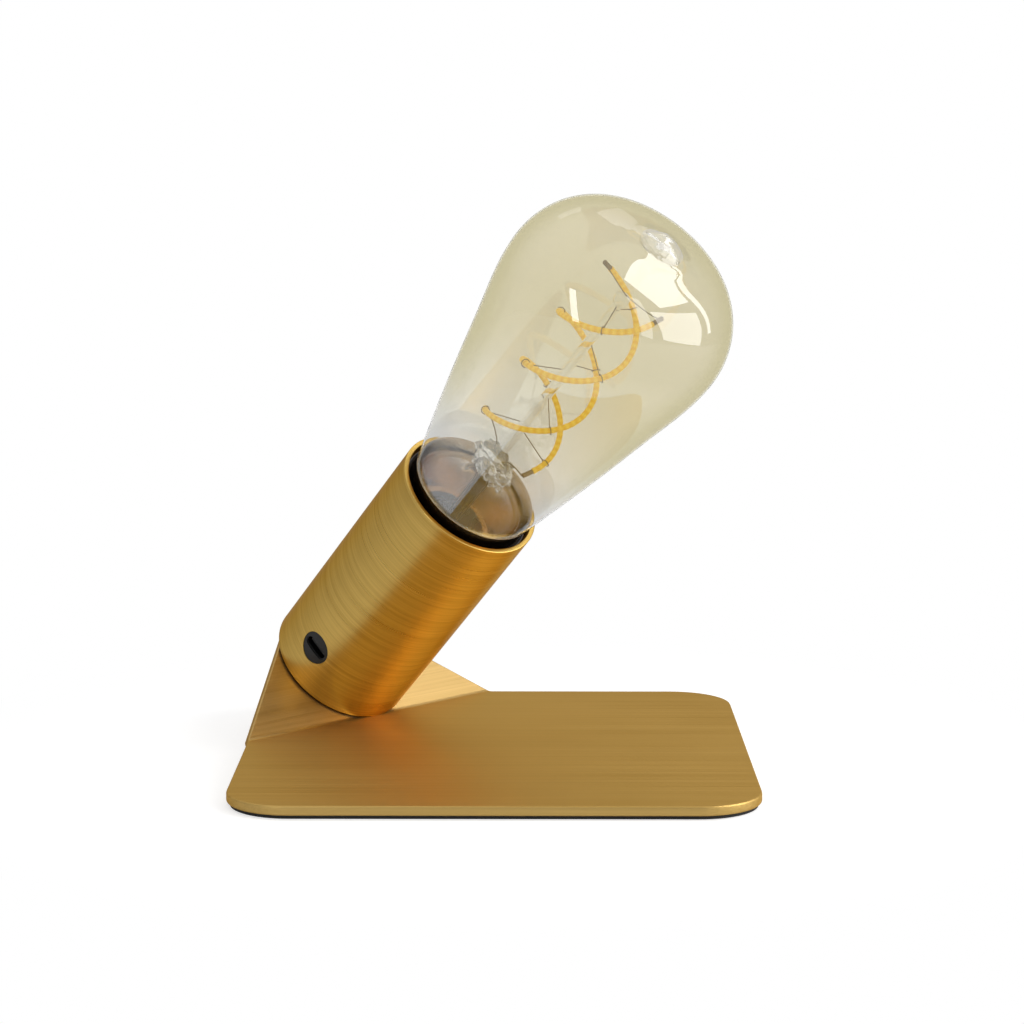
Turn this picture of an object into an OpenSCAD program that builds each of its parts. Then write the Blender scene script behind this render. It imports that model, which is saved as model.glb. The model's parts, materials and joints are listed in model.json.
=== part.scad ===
// Cordless table lamp: a folded brass-finished plate, a tube that a magnet holds on the folded
// corner, and a filament bulb screwed into the tube's mouth.
// Millimetres, +Z up. The origin is on the table, under the middle of the plate; the front is at -Y.

/* [Base plate] */
// Width of the steel plate, left to right
plate_w = 150; // [130:1:200]
// Depth of the steel plate, front to back
plate_d = 150; // [130:1:200]
// Thickness of the steel sheet
plate_t = 2.8; // [2:0.1:4]
// Radius of the plate's rounded corners
corner_r = 18.5; // [5:0.5:24]
// Length of each edge of the folded corner, from its point to the fold
fold_leg = 72.5; // [62:0.5:90]
// Angle that the corner is folded up by
fold_angle = 45; // [40:1:55]
// Inside radius of the fold
fold_r = 2; // [1:0.5:3]
// Thickness of the anti-slip pad under the plate
pad_t = 1; // [0.5:0.1:3]
// Distance that the pad stays in from the plate's edge
pad_inset = 1; // [0.5:0.5:10]

/* [Tube] */
// Outside diameter of the tube
tube_d = 45; // [44:0.5:56]
// Wall thickness of the tube
tube_wall = 1.5; // [1:0.1:2]
// Length of the tube
tube_len = 83; // [82:0.5:110]
// Gap between the tube's lower edge and the folded corner
foot_gap = 1; // [0.8:0.1:1.4]
// Clearance between the tube's lower edge and the flat of the plate
edge_clear = 0.2; // [0.1:0.1:1]
// Turn of the tube about its own axis, away from the fold's direction
head_turn = 7.5; // [-180:0.5:180]
// Thickness of the locating shoulder inside the tube
shoulder_t = 1.3; // [1:0.1:2]
// Height of the locating shoulder inside the tube
shoulder_h = 1; // [0.6:0.1:1.2]

/* [Foot] */
// Thickness of the disc under the magnet
foot_pad_t = 0.6; // [0.3:0.1:0.8]
// Radius of the magnet's steel cup
magnet_cup_r = 15; // [10:0.5:15.5]
// Height of the magnet's steel cup
magnet_cup_h = 5; // [4:0.5:6]
// Radius of the magnet
magnet_r = 12; // [6:0.5:12.5]
// Thickness of the magnet
magnet_h = 3.4; // [2:0.1:4]
// Thickness of the tube's bottom cap
cap_h = 6; // [5.5:0.5:8]
// Shaft radius of the small self-tapping screws
screw_r = 1; // [0.8:0.1:1.2]
// Head radius of the small self-tapping screws
screw_head_r = 1.9; // [1.6:0.1:2.1]
// Head height of the small self-tapping screws
screw_head_h = 1.2; // [0.8:0.1:1.4]

/* [Electronics] */
// Height of the charging inlet above the folded corner, along the tube
port_h = 15.5; // [15:0.5:18]
// Diameter of the round plug in the tube's wall that holds the inlet
port_d = 10.2; // [9.5:0.1:12]
// Width of the inlet's metal shell
inlet_w = 8.94; // [8:0.01:9.2]
// Height of the inlet's metal shell
inlet_h = 3.26; // [3:0.01:3.6]
// Depth of the inlet's metal shell
inlet_depth = 7.4; // [6:0.1:9]
// Sheet thickness of the inlet's metal shell
inlet_wall = 0.3; // [0.2:0.05:0.4]
// Thickness of the control board
board_t = 1.2; // [0.8:0.1:1.6]
// Radius of the battery cell
cell_r = 9.2; // [7:0.1:9.6]
// Length of the battery cell
cell_len = 35; // [28:0.5:35.5]
// Travel of the power button
button_travel = 0.6; // [0.3:0.1:0.8]
// Radius of the power button
button_r = 3.4; // [2.5:0.1:3.6]

/* [Lampholder] */
// Depth of the black ring below the tube's rim
collar_depth = 2.5; // [1:0.5:5]
// Inside radius of the lampholder's threaded shell, at the crests
holder_crest_r = 12.5; // [12.4:0.05:12.8]
// Depth of the thread
thread_depth = 1.1; // [0.8:0.1:1.2]
// Pitch of the thread
thread_pitch = 3.629; // [3.5:0.001:3.75]
// Radial clearance between the two threads
thread_clear = 0.45; // [0.4:0.05:0.6]
// Length of the threaded part
thread_len = 20; // [16:0.5:22]

/* [Bulb] */
// Height of the bulb's brass collar above the tube's rim
skirt_top = 3; // [2:0.5:6]
// Outside radius of the brass collar at its top
skirt_r = 19.8; // [18:0.1:19.8]
// Height of the bulb's waist above the tube's rim
waist_h = 35; // [25:1:42]
// Radius of the bulb at its waist
waist_r = 26.9; // [24:0.1:32]
// Height of the bulb's shoulder above the tube's rim
shoulder_up = 62; // [52:1:70]
// Radius of the bulb at its shoulder
bulb_shoulder_r = 32; // [28:0.1:34]
// Height of the bulb's widest part above the tube's rim
widest_h = 82.5; // [78:0.5:100]
// Radius of the bulb at its widest part
bulb_r = 34.8; // [34:0.1:42]
// Height of the dome above the widest part
dome_h = 24; // [20:0.5:36]
// Thickness of the glass
glass_t = 1; // [0.6:0.1:1.2]

/* [Filament] */
// Radius of the spiral that the strands follow
spiral_r = 12; // [8:0.1:15]
// Rise of each strand in one turn
spiral_pitch = 42.5; // [30:0.5:60]
// Turns of each strand
spiral_turns = 1.45; // [1:0.05:1.5]
// Height of the first strand's lower end above the tube's rim
strand_1_low = 25; // [22:0.5:30]
// Height of the second strand's lower end above the tube's rim
strand_2_low = 27.5; // [22:0.5:30]
// Diameter of a strand
strand_d = 1.8; // [1:0.1:2.5]
// Radius of the glass rod on the bulb's axis
rod_r = 1.5; // [1:0.1:2.5]
// Radius of the support wires
wire_r = 0.2; // [0.15:0.05:0.3]

/* [Hidden] */
$fn = 96;

brass_finish = "#b98a3e";
brass_plain = "#c9a35a";
black_plastic = "#1b1b1d";
steel_plain = "#b5b7ba";

// General clearances
fit = 0.2;        // parts that slide together when the lamp is put together
run_gap = 0.3;    // parts that turn or travel past each other
screw_fit = 0.05; // a screw in its pilot hole
eps = 0.01;       // how far a cutting body runs past what it cuts

plate_top = pad_t + plate_t;

// Heights along the tube, from the folded corner's face
tube_r = tube_d / 2;
bore_r = tube_r - tube_wall;
rim_h = foot_gap + tube_len;
cap_inset = 0.6;
cap_bottom = foot_gap + cap_inset;
cap_top = cap_bottom + cap_h;
frame_bottom = cap_top + shoulder_t;
frame_floor_t = 1.5;
frame_floor_top = frame_bottom + frame_floor_t;
board_bottom = port_h - inlet_h / 2 - board_t;
board_top = board_bottom + board_t;
cradle_gap = 0.9;
cradle_floor = 1.8;
cradle_bottom = board_top + inlet_h + cradle_gap;
cell_axis_h = cradle_bottom + cradle_floor + cell_r;
core_r = bore_r - fit;

// The tube's lower edge just clears the flat of the plate in front of the fold
foot_up = tube_r + (edge_clear - foot_gap * cos(fold_angle)) / sin(fold_angle);

// Lampholder heights, from the folded corner's face
skirt_len = 15.5;
thread_top = rim_h + skirt_top - skirt_len;
thread_bottom = thread_top - thread_len;
insulator_h = 3;
contact_h = 1.5;
contact_face = thread_bottom - insulator_h - contact_h;
contact_room = 2;
holder_floor_top = contact_face - contact_room;
holder_floor_t = 3;
holder_floor_bottom = holder_floor_top - holder_floor_t;
shell_drop = 2;
shell_foot = 0.5;
shell_top = thread_top - shell_drop;
shell_bottom = thread_bottom - shell_foot;
collar_seat = shell_top + 0.5;
collar_top = rim_h - collar_depth;
holder_root_r = holder_crest_r + thread_depth;
shell_outer_r = holder_root_r + 0.5;
holder_bore_r = shell_outer_r + fit;
holder_wall = 2;
holder_r = holder_bore_r + holder_wall;

// Bulb
cap_root_r = holder_root_r - thread_clear;
cap_bore_r = cap_root_r - thread_depth - 0.6;
skirt_wall = 0.4;
skirt_foot_r = cap_root_r + 0.4;
neck_depth = 4;
press_bottom = 9;
press_top = 16;
rod_top = 88;
press_w = 10;
press_t = 4.6;

// Places of the screws and of the frame's two rails
boss_d = 4.4;
boss_xy = 13.1;
rail_t = 4.1;
rail_half_angle = 24;
rail_r = core_r - rail_t / 2;

// ---------- frames of reference ----------

// The folded corner's upper face: +Z out of it, +Y along the fold, +X down towards the fold
module on_fold(bent = 1) {
    translate([-plate_w / 2 + fold_leg / 2, plate_d / 2 - fold_leg / 2, plate_top])
        rotate([0, bent * fold_angle, -45])
            children();
}

// The tube's foot: +Z along the tube, -Y out of the charging inlet
module on_tube() {
    on_fold()
        translate([-foot_up, 0, 0])
            rotate([0, 0, head_turn])
                children();
}

// The middle of the tube's rim, in the tube's directions
module on_rim() {
    on_tube()
        translate([0, 0, rim_h])
            children();
}

// ---------- shared shapes ----------

module disc(r, z0, z1) {
    translate([0, 0, z0])
        cylinder(r = r, h = z1 - z0);
}

module ring(r_out, r_in, z0, z1) {
    difference() {
        disc(r_out, z0, z1);
        disc(r_in, z0 - 1, z1 + 1);
    }
}

module block(size, centre) {
    translate(centre)
        cube(size, center = true);
}

// A ring of wall from angle -half to +half about +X
module arc_wall(r_in, r_out, half, z0, z1) {
    rotate([0, 0, -half])
        rotate_extrude(angle = 2 * half)
            translate([r_in, z0])
                square([r_out - r_in, z1 - z0]);
}

// A round bar along +Y, from y0 to y1, at height h
module cross_bar(r, y0, y1, h) {
    translate([0, y0, h])
        rotate([-90, 0, 0])
            cylinder(r = r, h = y1 - y0);
}

// A rounded slot's bar along +Y
module slot_bar(w, h, y0, y1, height) {
    translate([0, y0, height])
        rotate([-90, 0, 0])
            linear_extrude(y1 - y0) {
                square([w - h, h], center = true);
                for (side = [-1, 1])
                    translate([side * (w - h) / 2, 0])
                        circle(d = h, $fn = 32);
            }
}

// Pan-head screw with its head at the bottom, its seat at z and its shaft pointing up
module screw(seat, tip) {
    disc(screw_head_r, seat - screw_head_h, seat, $fn = 32);
    disc(screw_r, seat - eps, tip, $fn = 32);
}

function unit(v) = v / norm(v);
function across(t) = unit(cross(t, abs(t.z) < 0.9 ? [0, 0, 1] : [1, 0, 0]));

// Faces of a grid of rings, with both ends closed
function tube_faces(rings, sides) = concat(
    [for (i = [0:rings - 2], j = [0:sides - 1]) let (a = i * sides, k = (j + 1) % sides)
        each [[a + j, a + sides + j, a + sides + k], [a + j, a + sides + k, a + k]]],
    [for (j = [1:sides - 2]) [0, j, j + 1]],
    [for (j = [1:sides - 2]) let (a = (rings - 1) * sides) [a, a + j + 1, a + j]]
);

// A wire of constant radius along a list of points
module wire(path, r, sides = 8) {
    last = len(path) - 1;
    along = [for (i = [0:last]) unit(path[min(i + 1, last)] - path[max(i - 1, 0)])];
    side = [for (i = 0, s = across(along[0]); i <= last;
        i = i + 1, s = i <= last ? unit(s - along[i] * (s * along[i])) : s) s];
    points = [for (i = [0:last], j = [0:sides - 1])
        path[i] + r * (cos(360 * j / sides) * side[i]
            + sin(360 * j / sides) * cross(along[i], side[i]))];
    polyhedron(points = points, faces = tube_faces(last + 1, sides), convexity = 4);
}

// A straight round wire between two points
module straight_wire(a, b, r) {
    v = b - a;
    translate(a)
        rotate([0, acos(v.z / norm(v)), atan2(v.y, v.x)])
            cylinder(r = r, h = norm(v), $fn = 16);
}

// Points round a bend: a quadratic curve from a to c that leaves towards b
function bend(a, b, c, steps = 6) = [for (i = [0:steps]) let (t = i / steps)
    (1 - t) * (1 - t) * a + 2 * t * (1 - t) * b + t * t * c];

// Radius of a right-hand round thread at height z and angle a, fading out at both ends
function thread_wave(z, a, length) =
    (1 + cos(360 * z / thread_pitch - a)) / 2
    * min(1, z / thread_pitch * 2, (length - z) / thread_pitch * 2);

function even_steps(length, rows) = [for (i = [0:rows]) length * i / rows];

// Round wall between two surfaces given as radii over height and angle
module formed_wall(heights, sides, outer, inner) {
    rows = len(heights) - 1;
    angles = [for (j = [0:sides - 1]) 360 * j / sides];
    points = concat(
        [for (z = heights, a = angles) let (r = outer(z, a)) [r * cos(a), r * sin(a), z]],
        [for (z = heights, a = angles) let (r = inner(z, a)) [r * cos(a), r * sin(a), z]]
    );
    back = (rows + 1) * sides;
    top = rows * sides;
    faces = [
        for (i = [0:rows - 1], j = [0:sides - 1]) let (a = i * sides, k = (j + 1) % sides)
            each [[a + j, a + sides + j, a + sides + k], [a + j, a + sides + k, a + k],
                [back + a + j, back + a + sides + k, back + a + sides + j],
                [back + a + j, back + a + k, back + a + sides + k]],
        for (j = [0:sides - 1]) let (k = (j + 1) % sides)
            each [[j, k, back + k], [j, back + k, back + j],
                [top + j, back + top + k, top + k], [top + j, back + top + j, back + top + k]]
    ];
    polyhedron(points = points, faces = faces, convexity = 6);
}

// ---------- base ----------

module plate_outline(inset = 0) {
    square([plate_w - 2 * corner_r, plate_d - 2 * inset], center = true);
    square([plate_w - 2 * inset, plate_d - 2 * corner_r], center = true);
    for (sx = [-1, 1], sy = [-1, 1])
        translate([sx * (plate_w / 2 - corner_r), sy * (plate_d / 2 - corner_r)])
            circle(r = corner_r - inset);
}

// Half-plane on the plate's side of a line parallel to the fold, at a distance from it
module beyond_fold(distance)
    translate([-plate_w / 2 + fold_leg / 2, plate_d / 2 - fold_leg / 2])
        rotate(-45)
            translate([distance, -sheet_reach / 2])
                square([sheet_reach, sheet_reach]);

// Distance of the fold's tangent lines from the line where the two upper faces would meet
fold_set = fold_r * tan(fold_angle / 2);
fold_steps = 12;
sheet_reach = plate_w + plate_d;

// Cross-section points of one face of the fold, at a radius from the fold's centre
function fold_arc(r) = [for (i = [0:fold_steps]) let (a = fold_angle * i / fold_steps)
    [fold_set - r * sin(a), fold_r - r * cos(a)]];

// Endless bent sheet, before its outline is cut
module bent_sheet() {
    rising = [-cos(fold_angle), sin(fold_angle)] * sheet_reach;
    under = fold_arc(fold_r + plate_t);
    on_fold(0)
        translate([0, sheet_reach / 2, 0])
            rotate([90, 0, 0])
                linear_extrude(sheet_reach)
                    polygon(concat(
                        [[sheet_reach, 0]], fold_arc(fold_r),
                        [rising, rising - plate_t * [sin(fold_angle), cos(fold_angle)]],
                        [for (i = [fold_steps:-1:0]) under[i]], [[sheet_reach, -plate_t]]
                    ));
}

// All that lies outside the plate's outline, at the height of the flat sheet
module outside_outline()
    translate([0, 0, -plate_t - 1])
        linear_extrude(plate_t + 2)
            difference() {
                square(4 * sheet_reach, center = true);
                plate_outline();
            }

// Space on one side of the plane that halves the fold
module fold_side(corner_side)
    on_fold(0.5)
        translate([corner_side ? eps - 4 * sheet_reach : -eps, -2 * sheet_reach, -2 * sheet_reach])
            cube(4 * sheet_reach);

module base_plate() color(brass_finish)
    difference() {
        bent_sheet();
        intersection() {
            translate([0, 0, plate_top])
                outside_outline();
            fold_side(false);
        }
        intersection() {
            on_fold()
                rotate(45)
                    translate([plate_w / 2 - fold_leg / 2, -plate_d / 2 + fold_leg / 2])
                        outside_outline();
            fold_side(true);
        }
    }

module base_pad() color(black_plastic)
    linear_extrude(pad_t)
        intersection() {
            plate_outline(pad_inset);
            beyond_fold(fold_set + pad_inset);
        }

// ---------- foot of the tube ----------

module foot_pad() color(black_plastic) on_tube()
    disc(magnet_cup_r, 0, foot_pad_t);

module magnet_cup() color(steel_plain) on_tube()
    difference() {
        disc(magnet_cup_r, foot_pad_t, foot_pad_t + magnet_cup_h);
        disc(magnet_cup_r - 2, foot_pad_t - 1, foot_pad_t + magnet_h);
    }

module foot_magnet() color("#8d9094") on_tube()
    disc(magnet_r, foot_pad_t, foot_pad_t + magnet_h);

module tube_shell() color(brass_finish) on_tube()
    difference() {
        union() {
            ring(tube_r, bore_r, foot_gap, rim_h);
            ring(bore_r + tube_wall / 2, bore_r - shoulder_h, cap_top, frame_bottom);
        }
        for (side = [-1, 1])
            cross_bar((port_d + fit) / 2, side * tube_r - 3, side * tube_r + 3, port_h);
    }

// Places of the four frame bosses
module at_bosses(which = [0, 1, 2, 3])
    for (k = which)
        rotate([0, 0, 45 + 90 * k])
            translate([boss_xy * sqrt(2), 0, 0])
                children();

cap_recess_r = magnet_cup_r + run_gap;
cap_recess_top = foot_pad_t + magnet_cup_h + run_gap;
cap_screw_seat = cap_bottom + 2;

module bottom_cap() color(black_plastic) on_tube()
    difference() {
        disc(core_r, cap_bottom, cap_top);
        disc(cap_recess_r, cap_bottom - 1, cap_recess_top);
        at_bosses() {
            disc(screw_head_r + fit, cap_bottom - 1, cap_screw_seat, $fn = 32);
            disc(screw_r + screw_fit, cap_bottom, cap_top + 1, $fn = 32);
        }
    }

module bottom_cap_screws() color(steel_plain) on_tube()
    at_bosses()
        screw(cap_screw_seat, frame_floor_top);

// ---------- frame inside the tube ----------

// The rails stand a little inside the frame's floor
rail_set = 0.1;
// Ledges on the rails that the battery cradle sits on
ledge_t = 1;
ledge_w = 1.5;
// Hole in the frame's floor
wire_hole_r = 8;
// Depth of the two round plugs in the tube's wall
plug_recess = 0.15;
plug_depth = 3;
plug_face = tube_r - plug_recess;
plug_back = bore_r - plug_depth;

module chassis() color("#26262a") on_tube() {
    difference() {
        union() {
            disc(core_r, frame_bottom, frame_floor_top);
            at_bosses()
                disc(boss_d / 2, frame_bottom + 0.5, board_bottom, $fn = 32);
            for (turn = [0, 180]) rotate([0, 0, turn]) {
                arc_wall(core_r - rail_t, core_r - rail_set, rail_half_angle,
                    frame_bottom + 0.5, holder_floor_bottom);
                arc_wall(core_r - rail_t - ledge_w, core_r - 1, rail_half_angle - 4,
                    cradle_bottom - ledge_t, cradle_bottom);
            }
        }
        disc(wire_hole_r, frame_bottom - 1, frame_floor_top + 1);
        at_bosses()
            disc(screw_r + screw_fit, frame_bottom - 1, board_bottom + 1, $fn = 32);
        // grooves that the two wall plugs rest in
        for (turn = [0, 180])
            rotate([0, 0, turn])
                cross_bar(port_d / 2 + fit, plug_back - fit, core_r + 1, port_h);
        for (side = [-1, 1])
            translate([side * rail_r, 0, 0])
                disc(screw_r + screw_fit, holder_floor_bottom - 8, holder_floor_bottom + 1, $fn = 32);
    }
}

board_r = core_r - 1;
board_half_w = (core_r - rail_t) * cos(rail_half_angle) - 0.5;

module control_board() color("#1d5c36") on_tube()
    difference() {
        intersection() {
            disc(board_r, board_bottom, board_top);
            block([2 * board_half_w, 4 * board_r, 4 * board_top], [0, 0, board_top]);
        }
        // notches for the inlet's plug and for the button
        block([port_d + 2 * fit, core_r, 4 * board_t], [0, -plug_back + fit - core_r / 2, board_bottom]);
        block([port_d + 2 * fit, core_r, 4 * board_t], [0, switch_face - fit + core_r / 2, board_bottom]);
        at_bosses([0, 2])
            disc(screw_r + screw_fit, board_bottom - 1, board_top + 1, $fn = 32);
    }

module board_screws() color(steel_plain) on_tube()
    at_bosses([0, 2]) {
        disc(screw_head_r, board_top, board_top + screw_head_h, $fn = 32);
        disc(screw_r, frame_floor_top + fit, board_top + eps, $fn = 32);
    }

// Size and place of each component on the board: [x, y, width, depth, height]
components = [
    [-5, 2, 5, 5, 1], [4, 3, 4, 4, 2.6], [-6, -6, 3.2, 1.6, 1.2], [6, -4, 3.2, 1.6, 1.2],
    [0, 8.5, 6, 3.6, 1.5], [-11, 0, 2.4, 5, 2.4], [11, -2, 2.4, 5, 2.4]
];

module board_components() color("#303236") on_tube()
    for (c = components)
        block([c[2], c[3], c[4]], [c[0], c[1], board_top + c[4] / 2]);

// ---------- charging inlet and power button ----------

inlet_recess = 0.6;
inlet_face = plug_face - inlet_recess;

module wall_plug() {
    difference() {
        intersection() {
            cross_bar(port_d / 2, plug_back, tube_r + 1, port_h);
            disc(plug_face, 0, rim_h);
        }
        children();
    }
}

module port_bezel() color(black_plastic) on_tube() rotate([0, 0, 180])
    wall_plug()
        slot_bar(inlet_w + 2 * screw_fit, inlet_h + 2 * screw_fit, plug_back - 1, tube_r + 1, port_h);

module usb_receptacle() color(steel_plain) on_tube() rotate([0, 0, 180])
    difference() {
        slot_bar(inlet_w, inlet_h, inlet_face - inlet_depth, inlet_face, port_h);
        slot_bar(inlet_w - 2 * inlet_wall, inlet_h - 2 * inlet_wall,
            inlet_face - inlet_depth + 1, inlet_face + 1, port_h);
    }

module usb_tongue() color("#2b2b2e") on_tube() rotate([0, 0, 180])
    block([6.7, inlet_depth - 2, 0.7], [0, inlet_face - inlet_depth / 2, port_h]);

button_proud = 0.7;
button_flange_t = 1.3;
button_flange_w = 0.7;
button_stub = 0.6;
touch_gap = 0.1;
button_face = tube_r + button_proud;
button_flange_back = plug_back - touch_gap - button_flange_t;
button_back = button_flange_back - button_stub;
switch_face = button_back - button_travel - touch_gap;

module button_bezel() color(black_plastic) on_tube()
    wall_plug()
        cross_bar(button_r + fit, plug_back - 1, tube_r + 1, port_h);

module power_button() color("#3a3a3d") on_tube() {
    cross_bar(button_r, button_back, button_face, port_h);
    cross_bar(button_r + button_flange_w, button_flange_back, plug_back - touch_gap, port_h);
}

switch_size = [6, 3.4, 3.2];
plunger_len = 0.7;

module button_switch() color("#2b2b2e") on_tube() {
    block(switch_size, [0, switch_face - plunger_len - switch_size.y / 2, board_top + switch_size.z / 2]);
    cross_bar(1, switch_face - plunger_len - eps, switch_face, port_h, $fn = 32);
}

// ---------- battery ----------

cradle_half_w = (core_r - rail_t) * cos(rail_half_angle) - 0.3;
cradle_half_d = 8;
tab_t = 0.3;
tab_w = 5;
tab_len = 10;
tab_aside = 3;
tab_drop = 2.5;

module battery_cradle() color("#26262a") on_tube()
    difference() {
        intersection() {
            block([2 * cradle_half_w, 2 * cradle_half_d, cell_axis_h - cradle_bottom],
                [0, 0, (cell_axis_h + cradle_bottom) / 2]);
            disc(core_r - rail_t - fit, 0, rim_h);
        }
        cross_bar(cell_r + fit / 2, -core_r, core_r, cell_axis_h);
    }

module battery_cell() color("#3f6fb0") on_tube()
    cross_bar(cell_r, -cell_len / 2, cell_len / 2, cell_axis_h);

module battery_tabs() color("#c8c9cb") on_tube()
    for (side = [-1, 1])
        block([tab_w, tab_t, tab_len],
            [side * tab_aside, side * (cell_len / 2 + tab_t / 2), cell_axis_h - tab_drop]);

lead_r = 0.6;
solder = 0.06;

module battery_leads() color("#b02a22") on_tube()
    for (side = [-1, 1]) {
        start = [side * (tab_aside + 1), side * (cell_len / 2 + tab_t + lead_r + solder),
            cell_axis_h - tab_drop - tab_len / 2 + lead_r];
        turn = [side * 8.7, start.y, start.z - 1];
        down = [turn.x, turn.y - side * 2.8, start.z - 3];
        wire(concat(
            bend(start, turn, down), [[down.x, down.y - side * 0.5, board_top + solder]]
        ), lead_r);
    }

// ---------- lampholder ----------

terminal_x = 11;
terminal_y = 11;
terminal_size = 4;
terminal_h = 2.6;
rivet_x = 7;
rivet_r = 1;
rivet_head_r = 1.8;
rivet_head_h = 0.8;

module holder_body() color(black_plastic) on_tube()
    difference() {
        union() {
            disc(holder_r, holder_floor_bottom, collar_seat);
            disc(core_r, holder_floor_bottom, holder_floor_bottom + holder_floor_t);
        }
        disc(holder_bore_r, holder_floor_top, collar_seat + 1);
        for (side = [-1, 1]) {
            translate([side * rail_r, 0, 0])
                disc(screw_r + screw_fit, holder_floor_bottom - 1, holder_floor_top + 1, $fn = 32);
            translate([side * rivet_x, 0, 0])
                disc(rivet_r + screw_fit, holder_floor_bottom - 1, holder_floor_top + 1, $fn = 32);
        }
    }

// The two screws fix the holder's floor to the frame's rails
module holder_screws() color(steel_plain) on_tube()
    for (side = [-1, 1])
        translate([side * rail_r, 0, 0]) {
            disc(screw_head_r, holder_floor_top, holder_floor_top + screw_head_h, $fn = 32);
            disc(screw_r, holder_floor_bottom - 7, holder_floor_top + eps, $fn = 32);
        }

// Black funnel round the bulb's collar; two fine grooves run round its upper face
module holder_collar() color(black_plastic) on_tube() {
    lip_r = skirt_r + 0.4 * (collar_top - rim_h - skirt_top) + 1.5;
    throat_r = skirt_foot_r + 1.4;
    rotate_extrude()
        polygon([
            [holder_r + fit / 2, collar_seat - 4], [core_r, collar_seat - 4], [core_r, collar_top],
            [core_r - 0.7, collar_top], [core_r - 0.9, collar_top - 0.5],
            [core_r - 1.1, collar_top - 0.1], [lip_r + 0.3, collar_top - 0.3],
            [lip_r, collar_top - 0.7], [lip_r - 0.6, collar_top - 2],
            [throat_r, collar_seat + 1.5], [throat_r, collar_seat],
            [holder_r + fit / 2, collar_seat]
        ]);
}

module holder_thread_shell() color(brass_plain) on_tube() {
    length = shell_top - shell_bottom;
    // the wave is measured from the cap's own thread, so that both stay in step
    outer = function (z, a) shell_outer_r;
    inner = function (z, a) holder_crest_r
        + thread_depth * (1 + cos(360 * (z + shell_bottom - thread_bottom) / thread_pitch - a)) / 2;
    translate([0, 0, shell_bottom])
        formed_wall(even_steps(length, 30), 24, outer, inner);
}

// Sprung tongue under the bulb's centre contact
module holder_centre_contact() color(brass_plain) on_tube()
    translate([0, 2.5, holder_floor_top])
        rotate([90, 0, 0])
            linear_extrude(5)
                polygon([
                    [-9, 0], [-5, 0], [-1.5, 1.2], [2.5, 1.2], [4, 0.6],
                    [4.3, 1], [2.6, 1.7], [-1.7, 1.7], [-5.2, 0.5], [-9, 0.5]
                ]);

module holder_rivets() color(brass_plain) on_tube()
    for (side = [-1, 1])
        translate([side * rivet_x, 0, 0]) {
            disc(rivet_r, holder_floor_bottom - eps, holder_floor_top, $fn = 32);
            disc(rivet_head_r, holder_floor_bottom - rivet_head_h, holder_floor_bottom, $fn = 32);
        }

module holder_terminals() color(brass_plain) on_tube()
    for (side = [-1, 1])
        block([terminal_size, terminal_size, terminal_h],
            [side * terminal_x, terminal_y, holder_floor_bottom - terminal_h / 2]);

module holder_leads() color("#d8d8d6") on_tube()
    for (side = [-1, 1]) {
        foot = [side * terminal_x, terminal_y - 1, board_top];
        head = [side * terminal_x, terminal_y, holder_floor_bottom - terminal_h];
        middle = (foot + head) / 2 + [side * 1.5, 1.5, 0];
        wire(concat(bend(foot, foot + [0, 0, 6], middle), [for (p = bend(middle,
            head - [0, 0, 6], head)) if (p != middle) p]), lead_r);
    }

// ---------- bulb: cap ----------

module bulb_insulator() color("#111113") on_tube()
    rotate_extrude()
        polygon([
            [0, thread_bottom - insulator_h], [5, thread_bottom - insulator_h],
            [cap_root_r - thread_depth, thread_bottom], [0, thread_bottom]
        ]);

module bulb_centre_contact() color(steel_plain) on_tube()
    rotate_extrude()
        polygon([
            [0, contact_face], [3.4, contact_face], [4.4, contact_face + 0.7],
            [4.6, thread_bottom - insulator_h], [0, thread_bottom - insulator_h]
        ]);

// Radius of the collar's outside at a height above the rim
function skirt_outer(h) = skirt_foot_r + (skirt_r - skirt_foot_r) * (h - skirt_top + skirt_len) / skirt_len;

module bulb_skirt() color(brass_plain) on_rim()
    rotate_extrude()
        polygon([
            [skirt_foot_r - skirt_wall, skirt_top - skirt_len], [skirt_foot_r, skirt_top - skirt_len],
            [skirt_r, skirt_top], [skirt_r - skirt_wall, skirt_top]
        ]);

flange_t = 0.6;

// Threaded cap; the flange at its top is what the collar is fixed to
module bulb_cap() color(brass_plain) on_tube() {
    threaded = thread_len - flange_t;
    outer = function (z, a) z > threaded ? skirt_foot_r
        : cap_root_r - thread_depth + thread_depth * thread_wave(z, a, threaded);
    inner = function (z, a) cap_bore_r;
    translate([0, 0, thread_bottom])
        formed_wall(concat(even_steps(threaded, 32), [threaded + eps, thread_len]), 24, outer, inner);
}

// ---------- bulb: glass ----------

neck_seat_r = skirt_r + 0.2;
// Outline of the glass from the collar up: [height above the rim, radius, slope]
glass_marks = [
    [skirt_top, neck_seat_r, 0.23],
    [waist_h, waist_r, 0.2],
    [shoulder_up, bulb_shoulder_r, 0.2],
    [widest_h, bulb_r, 0]
];
dome_power = 0.61;
dome_steps = 24;
span_steps = 8;
// The dome's glass is drawn out a little round the sealed tip: rise and width of that swell
crown_up = 2;
crown_r = 9;

// Smooth curve between two marks
function between(a, b, t) = let (h = b[0] - a[0])
    [a[0] + t * h,
        (2 * pow(t, 3) - 3 * t * t + 1) * a[1] + (pow(t, 3) - 2 * t * t + t) * h * a[2]
        + (3 * t * t - 2 * pow(t, 3)) * b[1] + (pow(t, 3) - t * t) * h * b[2]];

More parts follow.
